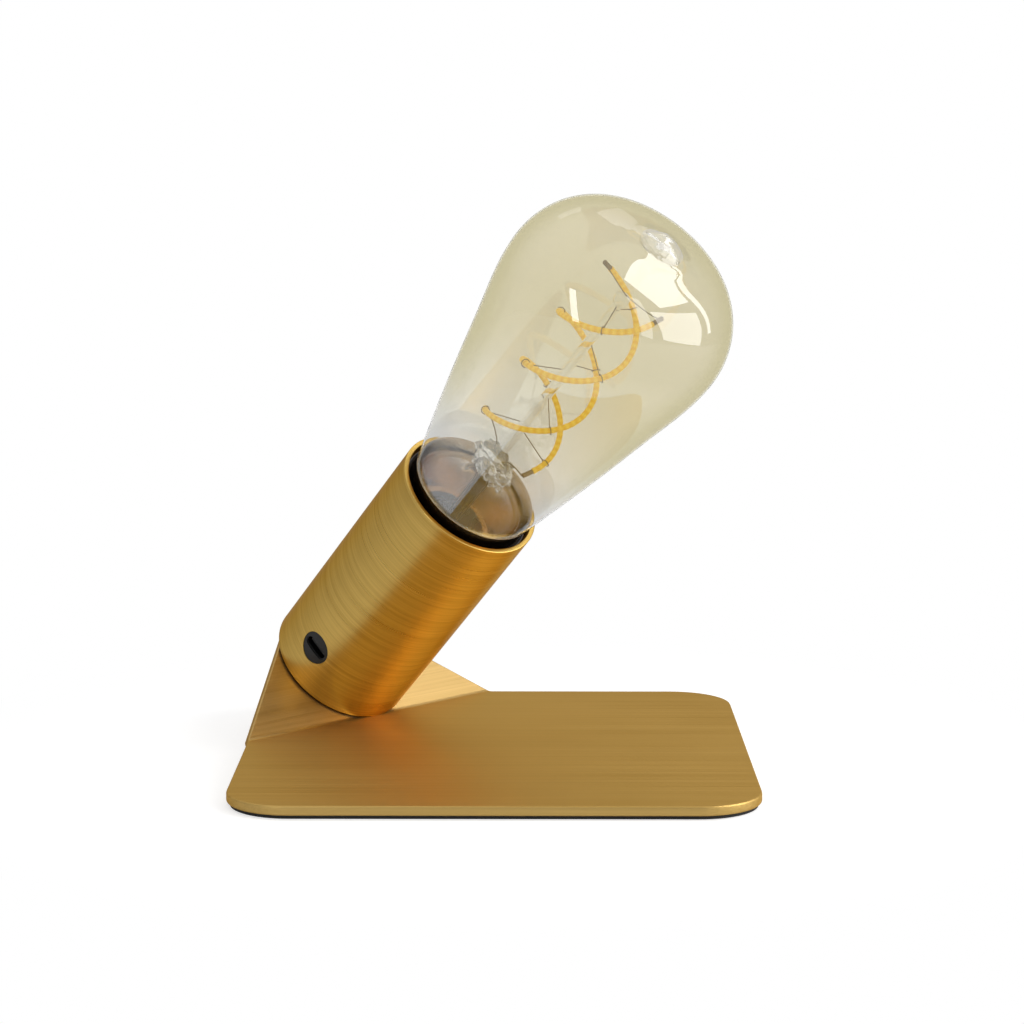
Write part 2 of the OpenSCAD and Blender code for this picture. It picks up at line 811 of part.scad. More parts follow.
// Half outline of the glass, as [radius, height above the rim], set in by a wall
function glass_side(wall) = concat(
    [for (k = [0:len(glass_marks) - 2], i = [0:span_steps - 1])
        let (p = between(glass_marks[k], glass_marks[k + 1], i / span_steps)) [p[1] - wall, p[0]]],
    [for (i = [0:dome_steps])
        let (a = 90 * i / dome_steps, r = i == dome_steps ? 0 : (bulb_r - wall) * pow(cos(a), dome_power))
        [r, widest_h + (dome_h - wall) * sin(a) + crown_up * exp(-pow(r / crown_r, 2))]]
);

neck_r = skirt_outer(skirt_top - neck_depth) - skirt_wall - 0.15;
neck_top_r = skirt_r - skirt_wall - 0.15;
tip_r = 6;
tip_up = 3.2;
tip_sink = 1;

module bulb_glass() color("#e3d3a8", 0.4) on_rim() {
    outside = glass_side(0);
    inside = glass_side(glass_t);
    difference() {
        union() {
            rotate_extrude()
                polygon(concat(
                    [[0, skirt_top - neck_depth], [neck_r, skirt_top - neck_depth], [neck_top_r, skirt_top]],
                    outside
                ));
            // sealed tip
            translate([0, 0, widest_h + dome_h + crown_up - tip_sink])
                rotate_extrude()
                    polygon(concat([[0, 0]], [for (i = [0:8]) let (a = 90 * i / 8)
                        [i == 8 ? 0 : tip_r * cos(a), (tip_up + tip_sink) * sin(a)]]));
        }
        rotate_extrude()
            polygon(concat(
                [[0, skirt_top - neck_depth - 1], [neck_r - glass_t, skirt_top - neck_depth - 1],
                    [neck_r - glass_t, skirt_top - neck_depth], [neck_top_r - glass_t, skirt_top]],
                inside
            ));
    }
}

// Flare and press: a glass funnel fused into the neck, closing upwards into a flat press
module stem() color("#dfe6e8", 0.5) on_rim() {
    flare_r = neck_r - glass_t - 0.05;
    low = skirt_top - neck_depth;
    rotate_extrude()
        polygon([
            [flare_r - 1, low], [flare_r, low], [flare_r, low + 1.4], [11, low + 4.4], [6.6, low + 6.6],
            [4.8, press_bottom], [4.8, press_bottom + 1], [3.8, press_bottom + 1], [3.8, press_bottom - 0.6],
            [5.8, low + 5.8], [10.4, low + 3.5], [flare_r - 1, low + 0.9]
        ]);
    intersection() {
        block([press_w, press_t, press_top - press_bottom], [0, 0, (press_top + press_bottom) / 2]);
        disc(press_w / 2, press_bottom, press_top);
    }
}

// Bead on the rod's upper end
bead_w = 0.8;
bead_h = 3;

module centre_rod() color("#e6ecec", 0.6) on_rim() {
    disc(rod_r, press_top, rod_top, $fn = 32);
    disc(rod_r + bead_w, rod_top - bead_h, rod_top, $fn = 32);
}

module exhaust_tube() color("#dfe6e8", 0.5) on_rim()
    ring(1.9, 1.1, -10, press_bottom);

module bulb_driver() color("#2a6b45") on_rim() {
    deep = skirt_top - skirt_len;
    block([2 * cap_bore_r - 0.8, 1, 12], [0, 0, deep - 7]);
    block([5, 3, 4], [-3, 2, deep - 6]);
    block([6, 2.4, 5], [2, -1.7, deep - 8]);
}

// ---------- bulb: filament ----------

// Angle and height of each strand's lower end
strands = [[0, strand_1_low], [206, strand_2_low]];

// A point of a strand, by the angle turned through from its lower end
function strand_point(strand, turned, r = spiral_r) =
    [r * cos(strand[0] + turned), r * sin(strand[0] + turned),
        strand[1] + spiral_pitch * turned / 360];
function strand_way(strand, turned) =
    unit(strand_point(strand, turned + 1) - strand_point(strand, turned - 1));

strand_rings = 40;
full_turn = 360 * spiral_turns;

function strand_path(strand) =
    [for (i = [0:strand_rings]) strand_point(strand, full_turn * i / strand_rings)];

module filament() color("#e8b23a") on_rim() rotate([0, 0, -head_turn])
    for (s = strands)
        wire(strand_path(s), strand_d / 2);

// Least distance between the strands' surfaces, measured on their path points
strand_gap = min([for (a = strand_path(strands[0]), b = strand_path(strands[1])) norm(a - b)]) - strand_d;
echo(str("least gap between the filament strands: ", strand_gap, " mm"));
// Least gap of a strand to itself, between points half a turn or more apart
half_turn_steps = ceil(strand_rings / spiral_turns / 2);
own_path = strand_path(strands[0]);
own_gap = min([for (i = [0:strand_rings - half_turn_steps], j = [i + half_turn_steps:strand_rings])
    norm(own_path[i] - own_path[j])]) - strand_d;
echo(str("least gap of a filament strand to itself: ", own_gap, " mm"));

terminal_len = 3.4;
terminal_r = strand_d / 2 - 0.2;
// The clip starts clear of the strand's end face, which stands a little askew to it
terminal_gap = 0.05 + strand_d / 2 * sin(full_turn / strand_rings / 2);

module filament_terminals() color("#8c7a4a") on_rim() rotate([0, 0, -head_turn])
    for (s = strands, end = [0, 1]) {
        tip = strand_point(s, end * full_turn);
        way = strand_way(s, end * full_turn) * (end == 0 ? -1 : 1);
        straight_wire(tip + way * terminal_gap, tip + way * terminal_len, terminal_r);
    }

lead_wire_r = 0.3;

module lead_wires() color("#a8895a") on_rim() rotate([0, 0, -head_turn])
    for (i = [0, 1]) {
        side = i == 0 ? 1 : -1;
        s = strands[i];
        tip = strand_point(s, 0) - strand_way(s, 0) * (terminal_len + lead_wire_r);
        exit = [side * 2.6, 0, press_top + 0.05];
        wire(bend(exit, exit + [0, 0, (tip.z - exit.z) / 2], tip), lead_wire_r);
        below = [side * 2.6, 0, press_bottom - 0.05];
        wire([below, [side * 2.4, 0, 0], [side * 2.4, 0, skirt_top - skirt_len - 0.9]], lead_wire_r);
    }

support_at = [20, 130, 240, 350, 460];
support_rise = 2.5;
ring_clear = 0.25;
ring_steps = 12;

// A support: a wire that comes from the rod and curls once round the strand
module support(strand, turned) {
    loop_r = strand_d / 2 + ring_clear + wire_r;
    at = strand_point(strand, turned);
    way = strand_way(strand, turned);
    inwards = -unit([at.x, at.y, 0]);
    aside = cross(way, inwards);
    curl = [for (k = [0:ring_steps]) let (a = 360 * k / ring_steps)
        at + loop_r * (cos(a) * inwards + sin(a) * aside) + way * wire_r * 3 * (k / ring_steps - 0.5)];
    start = -inwards * (rod_r + 0.1) + [0, 0, at.z + support_rise];
    wire(concat([start], curl), wire_r, 6);
}

// Besides the supports, a wire over the rod's top joins the strands' upper clips
module filament_supports() color("#7a6a4c") on_rim() rotate([0, 0, -head_turn]) {
    for (s = strands, turned = support_at)
        support(s, turned);
    ends = [for (s = strands)
        strand_point(s, full_turn) + strand_way(s, full_turn) * (terminal_len + 2 * wire_r + 0.35 * terminal_r)];
    over = [0, 0, rod_top + 2 * wire_r];
    wire(concat(bend(ends[0], [ends[0].x, ends[0].y, over.z], over),
        [for (p = bend(over, [ends[1].x, ends[1].y, over.z], ends[1])) if (p != over) p]), wire_r, 6);
}

base_plate();
base_pad();
foot_pad();
magnet_cup();
foot_magnet();
tube_shell();
bottom_cap();
bottom_cap_screws();
chassis();
control_board();
board_components();
board_screws();
port_bezel();
usb_receptacle();
usb_tongue();
button_bezel();
button_switch();
power_button();
battery_cradle();
battery_cell();
battery_tabs();
battery_leads();
holder_body();
holder_screws();
holder_collar();
holder_thread_shell();
holder_centre_contact();
holder_rivets();
holder_terminals();
holder_leads();
bulb_insulator();
bulb_centre_contact();
bulb_skirt();
bulb_cap();
bulb_glass();
stem();
centre_rod();
exhaust_tube();
bulb_driver();
lead_wires();
filament_terminals();
filament();
filament_supports();
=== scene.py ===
import json
import math

import bmesh
import bpy
import numpy as np
from mathutils import Matrix, Vector, noise


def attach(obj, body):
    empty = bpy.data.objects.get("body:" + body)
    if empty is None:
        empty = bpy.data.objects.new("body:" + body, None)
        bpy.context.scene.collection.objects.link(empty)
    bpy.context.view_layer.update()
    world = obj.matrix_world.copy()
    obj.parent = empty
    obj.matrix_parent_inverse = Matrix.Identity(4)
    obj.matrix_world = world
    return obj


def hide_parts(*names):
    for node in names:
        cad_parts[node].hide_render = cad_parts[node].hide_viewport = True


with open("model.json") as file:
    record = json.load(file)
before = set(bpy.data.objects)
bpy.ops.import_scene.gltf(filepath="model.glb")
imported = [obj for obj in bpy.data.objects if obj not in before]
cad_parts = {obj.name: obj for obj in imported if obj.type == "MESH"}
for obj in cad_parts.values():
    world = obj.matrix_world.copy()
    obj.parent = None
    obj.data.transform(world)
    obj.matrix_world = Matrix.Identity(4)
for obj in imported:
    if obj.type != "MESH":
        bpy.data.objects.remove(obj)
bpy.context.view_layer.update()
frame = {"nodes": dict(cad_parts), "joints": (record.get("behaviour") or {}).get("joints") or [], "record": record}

# ---------------------------------------------------------------- base plate
# Square steel sheet, 2.8 mm, brass-plated and brushed, with one corner folded up by 45
# degrees; the flap is brushed along the fold. The edges are broken by hand with a fine
# file, so a narrow bright rounding runs all the way round.


class Signal:
    """A value in a finish's node tree. Arithmetic on it adds Math nodes, kept() holds it between 0
    and 1, and also() is another output of the same node."""

    def __init__(self, finish, socket):
        self.finish, self.socket = finish, socket

    def sum_of(self, operation, *terms, clamp=False):
        settings = {"operation": operation, "use_clamp": clamp}
        return self.finish.node("ShaderNodeMath", settings, dict(enumerate(terms)))

    def __add__(self, other):
        return self.sum_of("ADD", self, other)

    def __mul__(self, other):
        return self.sum_of("MULTIPLY", self, other)

    def __sub__(self, other):
        return self.sum_of("SUBTRACT", self, other)

    def __rsub__(self, other):
        return self.sum_of("SUBTRACT", other, self)

    __radd__ = __add__
    __rmul__ = __mul__

    def kept(self):
        return self.sum_of("ADD", self, 0.0, clamp=True)

    def also(self, output):
        return Signal(self.finish, self.socket.node.outputs[output])


class Finish:
    """A material, or the world. node() adds a node to it, and surface() sets its shader's sockets."""

    def __init__(self, name, world=False):
        self.material = (bpy.data.worlds if world else bpy.data.materials).new(name)
        self.material.use_nodes = True
        self.tree = self.material.node_tree
        self.shader = self.tree.nodes["Background" if world else "Principled BSDF"]

    def node(self, kind, settings=None, sockets=None, output=0):
        made = self.tree.nodes.new(kind)
        for key, value in (settings or {}).items():
            setattr(made, key, value)
        for key, value in (sockets or {}).items():
            self.feed(made.inputs[key], value)
        return Signal(self, made.outputs[output])

    def feed(self, socket, value):
        if isinstance(value, Signal):
            self.tree.links.new(value.socket, socket)
        else:
            socket.default_value = value

    def surface(self, **sockets):
        for name, value in sockets.items():
            self.feed(self.shader.inputs[name.replace("_", " ")], value)
        return self

    def place(self, turn=(0, 0, 0), shift=(0, 0, 0), stretch=(1, 1, 1)):
        """Object coordinates, turned and shifted, then stretched along each axis."""
        where = self.node("ShaderNodeTexCoord", output="Object")
        turned = self.node("ShaderNodeMapping", {"vector_type": "POINT"},
                           {"Vector": where, "Rotation": turn, "Location": shift})
        return self.node("ShaderNodeVectorMath", {"operation": "MULTIPLY"}, {0: turned, 1: stretch})

    def noise(self, where, scale=1.0, detail=2.0, roughness=0.5):
        return self.node("ShaderNodeTexNoise", {}, {
            "Vector": where, "Scale": scale, "Detail": detail, "Roughness": roughness})

    def blend(self, low, high, share):
        return self.node("ShaderNodeMix", {"data_type": "RGBA"}, {0: share, 6: low, 7: high}, output=2)

    def bump(self, height, depth, strength=1.0):
        return self.node("ShaderNodeBump", {}, {"Height": height, "Distance": depth, "Strength": strength})


def brushed(name, low, high, turn, shift, along, roughness, relief):
    """Brushed metal: fine scratches run where `along` is small, with wider streaks among them."""
    finish = Finish(name)
    fine = finish.noise(finish.place(turn, shift, along), 1.0, 3.0, 0.6)
    lines = finish.noise(finish.place(turn, shift, [a * 0.4 for a in along]), 1.0, 2.0)
    streak = finish.noise(finish.place(turn, shift, [a * 0.12 for a in along]), 1.0, 1.0)
    cloud = finish.noise(finish.place(turn, shift), 22.0, 1.0)
    share = (streak - 0.5) * 0.35 + (lines - 0.5) * 1.0 + (fine - 0.5) * 1.1 + (cloud - 0.5) * 0.25
    finish.surface(
        Base_Color=finish.blend((*low, 1), (*high, 1), (share + 0.5).kept()), Metallic=1.0,
        Specular_Tint=(0.79, 0.56, 0.33, 1),
        Roughness=roughness + (lines - 0.5) * 0.16 + (cloud - 0.5) * 0.06,
        Normal=finish.bump(fine + lines * 1.6, relief, 0.7))
    return finish


PLATE_W, PLATE_T, PAD_T = 0.150, 0.0028, 0.001
CORNER_R, FOLD_LEG, FOLD_R = 0.0185, 0.0725, 0.002
FOLD_ANGLE = math.radians(45)
EDGE_R = 0.0005

fold_set = FOLD_R * math.tan(FOLD_ANGLE / 2)
fold_mid = Vector((-PLATE_W / 2 + FOLD_LEG / 2, PLATE_W / 2 - FOLD_LEG / 2, PAD_T + PLATE_T))
on_fold = Matrix.Translation(fold_mid) @ Matrix.Rotation(math.radians(-45), 4, "Z")


def plate_ring(inset, height, steps=14):
    """The plate's rounded outline at an inset from its edge, as points of the flat sheet."""
    points = []
    for sx, sy, start in ((1, -1, -90), (1, 1, 0), (-1, 1, 90), (-1, -1, 180)):
        for k in range(steps + 1):
            a = math.radians(start + 90 * k / steps)
            points.append((sx * (PLATE_W / 2 - CORNER_R) + (CORNER_R - inset) * math.cos(a),
                           sy * (PLATE_W / 2 - CORNER_R) + (CORNER_R - inset) * math.sin(a), height))
    return points


def folded(point):
    """Where a point of the flat sheet goes when the corner is folded."""
    p = on_fold.inverted() @ Vector(point)
    if p.x >= fold_set:
        return point
    share = min(1, (fold_set - p.x) / (2 * fold_set))
    a = share * FOLD_ANGLE
    past = max(0, -fold_set - p.x)
    r = FOLD_R - p.z
    return on_fold @ Vector((fold_set - r * math.sin(a) - past * math.cos(a), p.y,
                             FOLD_R - r * math.cos(a) + past * math.sin(a)))


def plate_mesh():
    bm = bmesh.new()
    top = PAD_T + PLATE_T
    levels = [(EDGE_R * (1 - math.sin(math.radians(a))), top - EDGE_R * (1 - math.cos(math.radians(a))))
              for a in (0, 22.5, 45, 67.5, 90)]
    levels += [(inset, 2 * PAD_T + PLATE_T - z) for inset, z in reversed(levels)]
    rings = [[bm.verts.new(p) for p in plate_ring(*level)] for level in levels]
    bm.faces.new(rings[0])
    bm.faces.new(reversed(rings[-1]))
    for upper, lower in zip(rings, rings[1:]):
        for k in range(len(upper)):
            n = (k + 1) % len(upper)
            bm.faces.new((upper[k], lower[k], lower[n], upper[n])).smooth = True
    cuts = 12
    for k in range(cuts + 1):
        at = fold_set * (1 - 2 * k / cuts)
        bmesh.ops.bisect_plane(bm, geom=bm.verts[:] + bm.edges[:] + bm.faces[:], dist=1e-7,
                               plane_co=on_fold @ Vector((at, 0, 0)),
                               plane_no=on_fold.to_3x3() @ Vector((1, 0, 0)))
    for face in bm.faces:
        middle = on_fold.inverted() @ face.calc_center_median()
        if abs(middle.x) < fold_set:
            face.smooth = True
        face.material_index = 1 if middle.x < 0 else 0
    for v in bm.verts:
        v.co = folded(v.co)
    bmesh.ops.recalc_face_normals(bm, faces=bm.faces)
    mesh = bpy.data.meshes.new("steel_plate")
    bm.to_mesh(mesh)
    bm.free()
    return mesh


def shown(name, mesh, *finishes):
    """A finished piece with its place in its mesh."""
    made = bpy.data.objects.new(name, mesh)
    bpy.context.scene.collection.objects.link(made)
    for finish in finishes:
        made.data.materials.append(finish.material)
    return made


across_plate = (14, 2600, 2600)
plate_brass = brushed("brushed_brass_plate", (0.60, 0.393, 0.117), (0.74, 0.505, 0.174),
                      (0, 0, 0), (0, 0, 0), across_plate, 0.47, 1.8e-5)
# The flap's brass is a darker copy of the plate's brass: painted shade that tones down the light the flap catches.
flap_brass_painted_shade = brushed("brushed_brass_flap_painted_shade", (0.505, 0.33, 0.115), (0.695, 0.48, 0.20),
                     (0, 0, math.radians(-45)), (0, 0, 0), across_plate, 0.43, 3e-5)
steel_plate = shown("steel_plate", plate_mesh(), plate_brass, flap_brass_painted_shade)
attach(steel_plate, "root")
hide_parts("base_plate")

# ---------------------------------------------------------------- pads
# Thin black rubber sheet glued under the plate, and the small disc under the tube that
# keeps the magnet from scratching the plating. Both are cut from the same sheet.


def paint(finish, *nodes):
    """Gives CAD nodes a finish."""
    for node in nodes:
        mesh = frame["nodes"][node].data
        mesh.materials.clear()
        mesh.materials.append(finish.material)


rubber = Finish("black_rubber_sheet")
rubber_pores = rubber.noise(rubber.place(), 2600.0, 2.0, 0.6)
rubber.surface(Base_Color=rubber.blend((0.010, 0.010, 0.010, 1), (0.022, 0.021, 0.020, 1), rubber_pores),
               Roughness=0.72 + (rubber_pores - 0.5) * 0.2,
               Normal=rubber.bump(rubber_pores, 4e-5, 0.5))
paint(rubber, "base_pad", "foot_pad")

# ---------------------------------------------------------------- plain steel parts
# Pot magnet, screws, battery tabs and the bulb's bottom contact: nickel-plated steel with a
# fine mill grain and a few dull spots. The inlet's drawn shell is near-black steel, a painted shade for the inside
# of its slot.

nickel = Finish("nickel_plated_steel")
nickel_grain = nickel.noise(nickel.place(stretch=(1, 1, 0.1)), 3800.0, 2.0)
nickel_spots = nickel.noise(nickel.place(), 420.0, 3.0)
nickel.surface(Base_Color=nickel.blend((0.47, 0.46, 0.45, 1), (0.66, 0.65, 0.63, 1), nickel_spots),
               Metallic=1.0, Roughness=0.22 + nickel_grain * 0.12 + nickel_spots * 0.08,
               Normal=nickel.bump(nickel_grain, 1e-5, 0.4))
paint(nickel, "magnet_cup", "foot_magnet", "bottom_cap_screws", "board_screws", "battery_tabs", "holder_screws",
      "bulb_centre_contact")
# Painted shade: the inlet's shell is made near-black to stand for the shade inside its slot.
slot_shade_steel = Finish("steel_painted_slot_shade")
slot_shade_grain = slot_shade_steel.noise(slot_shade_steel.place(stretch=(1, 1, 0.1)), 3800.0, 2.0)
slot_shade_steel.surface(Base_Color=slot_shade_steel.blend((0.045, 0.045, 0.048, 1), (0.09, 0.09, 0.092, 1), slot_shade_grain),
              Metallic=1.0, Roughness=0.38 + slot_shade_grain * 0.1,
              Normal=slot_shade_steel.bump(slot_shade_grain, 1e-5, 0.3))
paint(slot_shade_steel, "usb_receptacle")

# ---------------------------------------------------------------- tube
# Aluminium tube, 45 mm, brass-coloured and brushed round its axis on a lathe, with a bored
# hole on each side for the inlet and the button. Its rim is faced off bright.

TURN = math.radians(7.5)
TUBE_R, BORE_R, FOOT_GAP, RIM_H = 0.0225, 0.021, 0.0006, 0.084
SHOULDER_R, SHOULDER = 0.020, (0.0076, 0.0089)
PORT_H, PORT_R = 0.0155, 0.0052

spin = next(j for j in frame["joints"] if j["name"] == "head_spin")
foot = Vector(spin["pos_m"])
up_tube = Vector(spin["axis"]).normalized()
port_out = Vector(next(m for m in frame["record"]["mounts"] if m["name"] == "usb_c_port")["axis"]).normalized()
sideways = (-port_out).cross(up_tube)
tube_turn = Matrix((sideways, -port_out, up_tube)).transposed()
on_tube = Matrix.Translation(foot) @ tube_turn.to_4x4()
to_tube = on_tube.inverted()


def softened(corners, steps=4):
    """An outline with some of its corners rounded: each corner is (radius, height, rounding)."""
    points, count = [], len(corners)
    for k, (r, z, rounding) in enumerate(corners):
        here = Vector((r, z))
        if not rounding:
            points.append((r, z))
            continue
        before = (Vector(corners[k - 1][:2]) - here).normalized()
        after = (Vector(corners[(k + 1) % count][:2]) - here).normalized()
        for i in range(steps + 1):
            t = i / steps
            a, b = here + before * rounding, here + after * rounding
            p = a * (1 - t) ** 2 + here * 2 * t * (1 - t) + b * t * t
            points.append((p.x, p.y))
    return points


def turned(name, outline, place, sides=160, angle=28):
    """A solid of revolution about the place's Z axis. The outline is a closed loop of (radius, height)."""
    bm = bmesh.new()
    rings = []
    for r, z in outline:
        if r < 1e-9:
            rings.append([bm.verts.new((0, 0, z))] * sides)
        else:
            rings.append([bm.verts.new((r * math.cos(2 * math.pi * k / sides),
                                        r * math.sin(2 * math.pi * k / sides), z)) for k in range(sides)])
    for i, ring in enumerate(rings):
        following = rings[(i + 1) % len(rings)]
        if ring[0] is ring[1] and following[0] is following[1]:
            continue
        for k in range(sides):
            n = (k + 1) % sides
            corners = list(dict.fromkeys((ring[k], ring[n], following[n], following[k])))
            bm.faces.new(corners).smooth = True
    bmesh.ops.recalc_face_normals(bm, faces=bm.faces)
    bm.transform(place)
    mesh = bpy.data.meshes.new(name)
    bm.to_mesh(mesh)
    bm.free()
    mesh.set_sharp_from_angle(angle=math.radians(angle))
    return mesh


def bored(mesh, side, radius, place):
    """Cuts a round hole along the place's Y axis, through its wall on one side."""
    body = bpy.data.objects.new("blank", mesh)
    bpy.context.scene.collection.objects.link(body)
    drill = bmesh.new()
    bmesh.ops.create_cone(drill, cap_ends=True, segments=72, radius1=radius, radius2=radius, depth=0.014)
    across = Matrix.Translation((0, side * TUBE_R, PORT_H)) @ Matrix.Rotation(math.pi / 2, 4, "X")
    drill.transform(place @ across)
    drill_mesh = bpy.data.meshes.new("drill")
    drill.to_mesh(drill_mesh)
    drill.free()
    cutter = bpy.data.objects.new("drill", drill_mesh)
    bpy.context.scene.collection.objects.link(cutter)
    cut = body.modifiers.new("cut", "BOOLEAN")
    cut.operation, cut.solver, cut.object = "DIFFERENCE", "EXACT", cutter
    done = bpy.data.meshes.new_from_object(body.evaluated_get(bpy.context.evaluated_depsgraph_get()))
    bpy.data.objects.remove(body)
    bpy.data.objects.remove(cutter)
    return done


def round_normals(mesh, place, radius):
    """Exact normals on the outer round face, so that the holes leave no dents in its shine."""
    inverse = place.inverted()
    normals = [Vector(n.vector) for n in mesh.corner_normals]
    for face in mesh.polygons:
        spots = [inverse @ mesh.vertices[v].co for v in face.vertices]
        if all(abs(math.hypot(p.x, p.y) - radius) < 2e-5 for p in spots):
            for loop, p in zip(face.loop_indices, spots):
                normals[loop] = place.to_3x3() @ Vector((p.x, p.y, 0)).normalized()
    mesh.normals_split_custom_set(normals)


LEVELS = 28
tube_levels = [(TUBE_R, FOOT_GAP + (RIM_H - FOOT_GAP) * k / LEVELS, 0) for k in range(1, LEVELS)]
tube_outline = softened([
    (BORE_R, FOOT_GAP, 0.0002), (TUBE_R, FOOT_GAP, 0.0002), *tube_levels, (TUBE_R, RIM_H, 0.0003),
    (BORE_R, RIM_H, 0.0003), (BORE_R, SHOULDER[1], 0), (SHOULDER_R, SHOULDER[1], 0),
    (SHOULDER_R, SHOULDER[0], 0), (BORE_R, SHOULDER[0], 0)])
tube_mesh = turned("brushed_tube", tube_outline, on_tube, 200)
for side in (-1, 1):
    tube_mesh = bored(tube_mesh, side, PORT_R, on_tube)
round_normals(tube_mesh, on_tube, TUBE_R)

along_tube = tuple(to_tube.to_euler()), tuple(to_tube.translation)
tube_brass = brushed("brushed_brass_tube", (0.625, 0.392, 0.094), (0.935, 0.64, 0.185),
                     *along_tube, (34, 34, 2600), 0.31, 3.2e-5)
brushed_tube = shown("brushed_tube", tube_mesh, tube_brass)
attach(brushed_tube, "lamp_head")
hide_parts("tube_shell")

# ---------------------------------------------------------------- black moulded parts
# The inlet's plug, the button and its ring, the bottom cap, the inner frame and the small
# parts on the board: black plastic with the fine texture of a spark-eroded mould.

moulded = Finish("black_moulded_plastic")
moulded_grain = moulded.noise(moulded.place(), 5200.0, 3.0, 0.6)
moulded_cloud = moulded.noise(moulded.place(), 160.0, 2.0)
moulded.surface(Base_Color=moulded.blend((0.011, 0.012, 0.013, 1), (0.021, 0.022, 0.024, 1), moulded_cloud),
                Roughness=0.42 + moulded_grain * 0.16,
                Normal=moulded.bump(moulded_grain, 2e-5, 0.45))
paint(moulded, "bottom_cap", "chassis", "board_components", "port_bezel", "usb_tongue", "button_bezel",
      "button_switch", "power_button", "battery_cradle")

# ---------------------------------------------------------------- board and battery
# Green lacquered circuit boards with faint tracks under the lacquer, a blue shrink-wrapped
# cell, and silicone-covered leads. All of it is shut in the tube or in the bulb's cap.

board = Finish("lacquered_circuit_board")
board_tracks = board.node("ShaderNodeTexVoronoi", {"feature": "DISTANCE_TO_EDGE"},
                          {"Vector": board.place(), "Scale": 520.0}, output="Distance")
board_copper = (1.0 - board_tracks * 9.0).kept()
board.surface(Base_Color=board.blend((0.012, 0.10, 0.045, 1), (0.03, 0.20, 0.085, 1), board_copper),
              Roughness=0.30 + board_copper * 0.1, Normal=board.bump(board_copper, 3e-5, 0.4))
paint(board, "control_board", "bulb_driver")

wrap = Finish("blue_shrink_wrap")
wrap_creases = wrap.noise(wrap.place(*along_tube, (260, 40, 260)), 1.0, 3.0)
wrap.surface(Base_Color=wrap.blend((0.03, 0.12, 0.36, 1), (0.05, 0.18, 0.46, 1), wrap_creases),
             Roughness=0.28 + wrap_creases * 0.15, Normal=wrap.bump(wrap_creases, 1e-4, 0.5))
paint(wrap, "battery_cell")


def lead_cover(name, colour):
    finish = Finish(name)
    mottle = finish.noise(finish.place(), 900.0, 2.0)
    darker = tuple(c * 0.75 for c in colour)
    finish.surface(Base_Color=finish.blend((*darker, 1), (*colour, 1), mottle),
                   Roughness=0.45 + mottle * 0.12, Normal=finish.bump(mottle, 2e-5, 0.3))
    return finish


paint(lead_cover("red_lead_cover", (0.45, 0.03, 0.02)), "battery_leads")
paint(lead_cover("white_lead_cover", (0.68, 0.68, 0.66)), "holder_leads")

# ---------------------------------------------------------------- lampholder
# Phenolic body and the glossy black ring that closes the tube's mouth, turned with five
# fine grooves in its funnel. The threaded shell, tongue and terminals are bright brass.

paint(moulded, "holder_body")
gloss = Finish("black_phenolic_gloss")
gloss_swirl = gloss.noise(gloss.place(*along_tube, (60, 60, 3000)), 1.0, 2.0)
gloss_haze = gloss.noise(gloss.place(), 300.0, 2.0)
gloss.surface(Base_Color=gloss.blend((0.014, 0.013, 0.014, 1), (0.030, 0.025, 0.025, 1), gloss_haze),
              Roughness=0.16 + gloss_haze * 0.14, Coat_Weight=0.5, Coat_Roughness=0.05,
              Normal=gloss.bump(gloss_swirl, 1.2e-5, 0.5))
paint(gloss, "bulb_insulator")

RING_SEAT, RING_TOP, RING_R, THROAT_R, LIP_R = 0.070, 0.0815, 0.0208, 0.01495, 0.0191
GROOVES = 5
groove = []
for k in range(GROOVES):
    share = (k + 0.6) / (GROOVES + 0.4)
    r, z = LIP_R + (THROAT_R - LIP_R) * share, RING_TOP - 0.0009 - 0.0088 * share
    groove += [(r, z, 0.0001), (r + 0.00032, z - 0.00030, 0.0001), (r - 0.00012, z - 0.00062, 0.0001)]
ring_outline = softened([
    (0.0164, RING_SEAT - 0.004, 0), (RING_R, RING_SEAT - 0.004, 0), (RING_R, RING_TOP, 0.0002),
    (RING_R - 0.0007, RING_TOP, 0.0002), (RING_R - 0.0009, RING_TOP - 0.0005, 0.0001),
    (RING_R - 0.0011, RING_TOP - 0.0001, 0.0001), (LIP_R + 0.0003, RING_TOP - 0.0003, 0.0002), *groove,
    (THROAT_R, RING_SEAT + 0.0006, 0), (THROAT_R, RING_SEAT, 0), (0.0164, RING_SEAT, 0)])
mouth_ring = shown("mouth_ring", turned("mouth_ring", ring_outline, on_tube), gloss)
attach(mouth_ring, "lamp_head")
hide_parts("holder_collar")

brass = Finish("bright_sheet_brass")
brass_haze = brass.noise(brass.place(), 240.0, 3.0)
brass_lines = brass.noise(brass.place(*along_tube, (30, 30, 4200)), 1.0, 2.0)
brass.surface(Base_Color=brass.blend((0.62, 0.40, 0.16, 1), (0.78, 0.55, 0.26, 1), brass_haze),
              Metallic=1.0, Roughness=0.20 + brass_haze * 0.14, Normal=brass.bump(brass_lines, 1e-5, 0.4))
paint(brass, "holder_thread_shell", "holder_centre_contact", "holder_rivets", "holder_terminals", "bulb_cap")

# ---------------------------------------------------------------- bulb's collar
# Thin brass cone crimped on the cap; it grips the neck of the glass, and only its rim
# shows above the tube as a fine gold line.

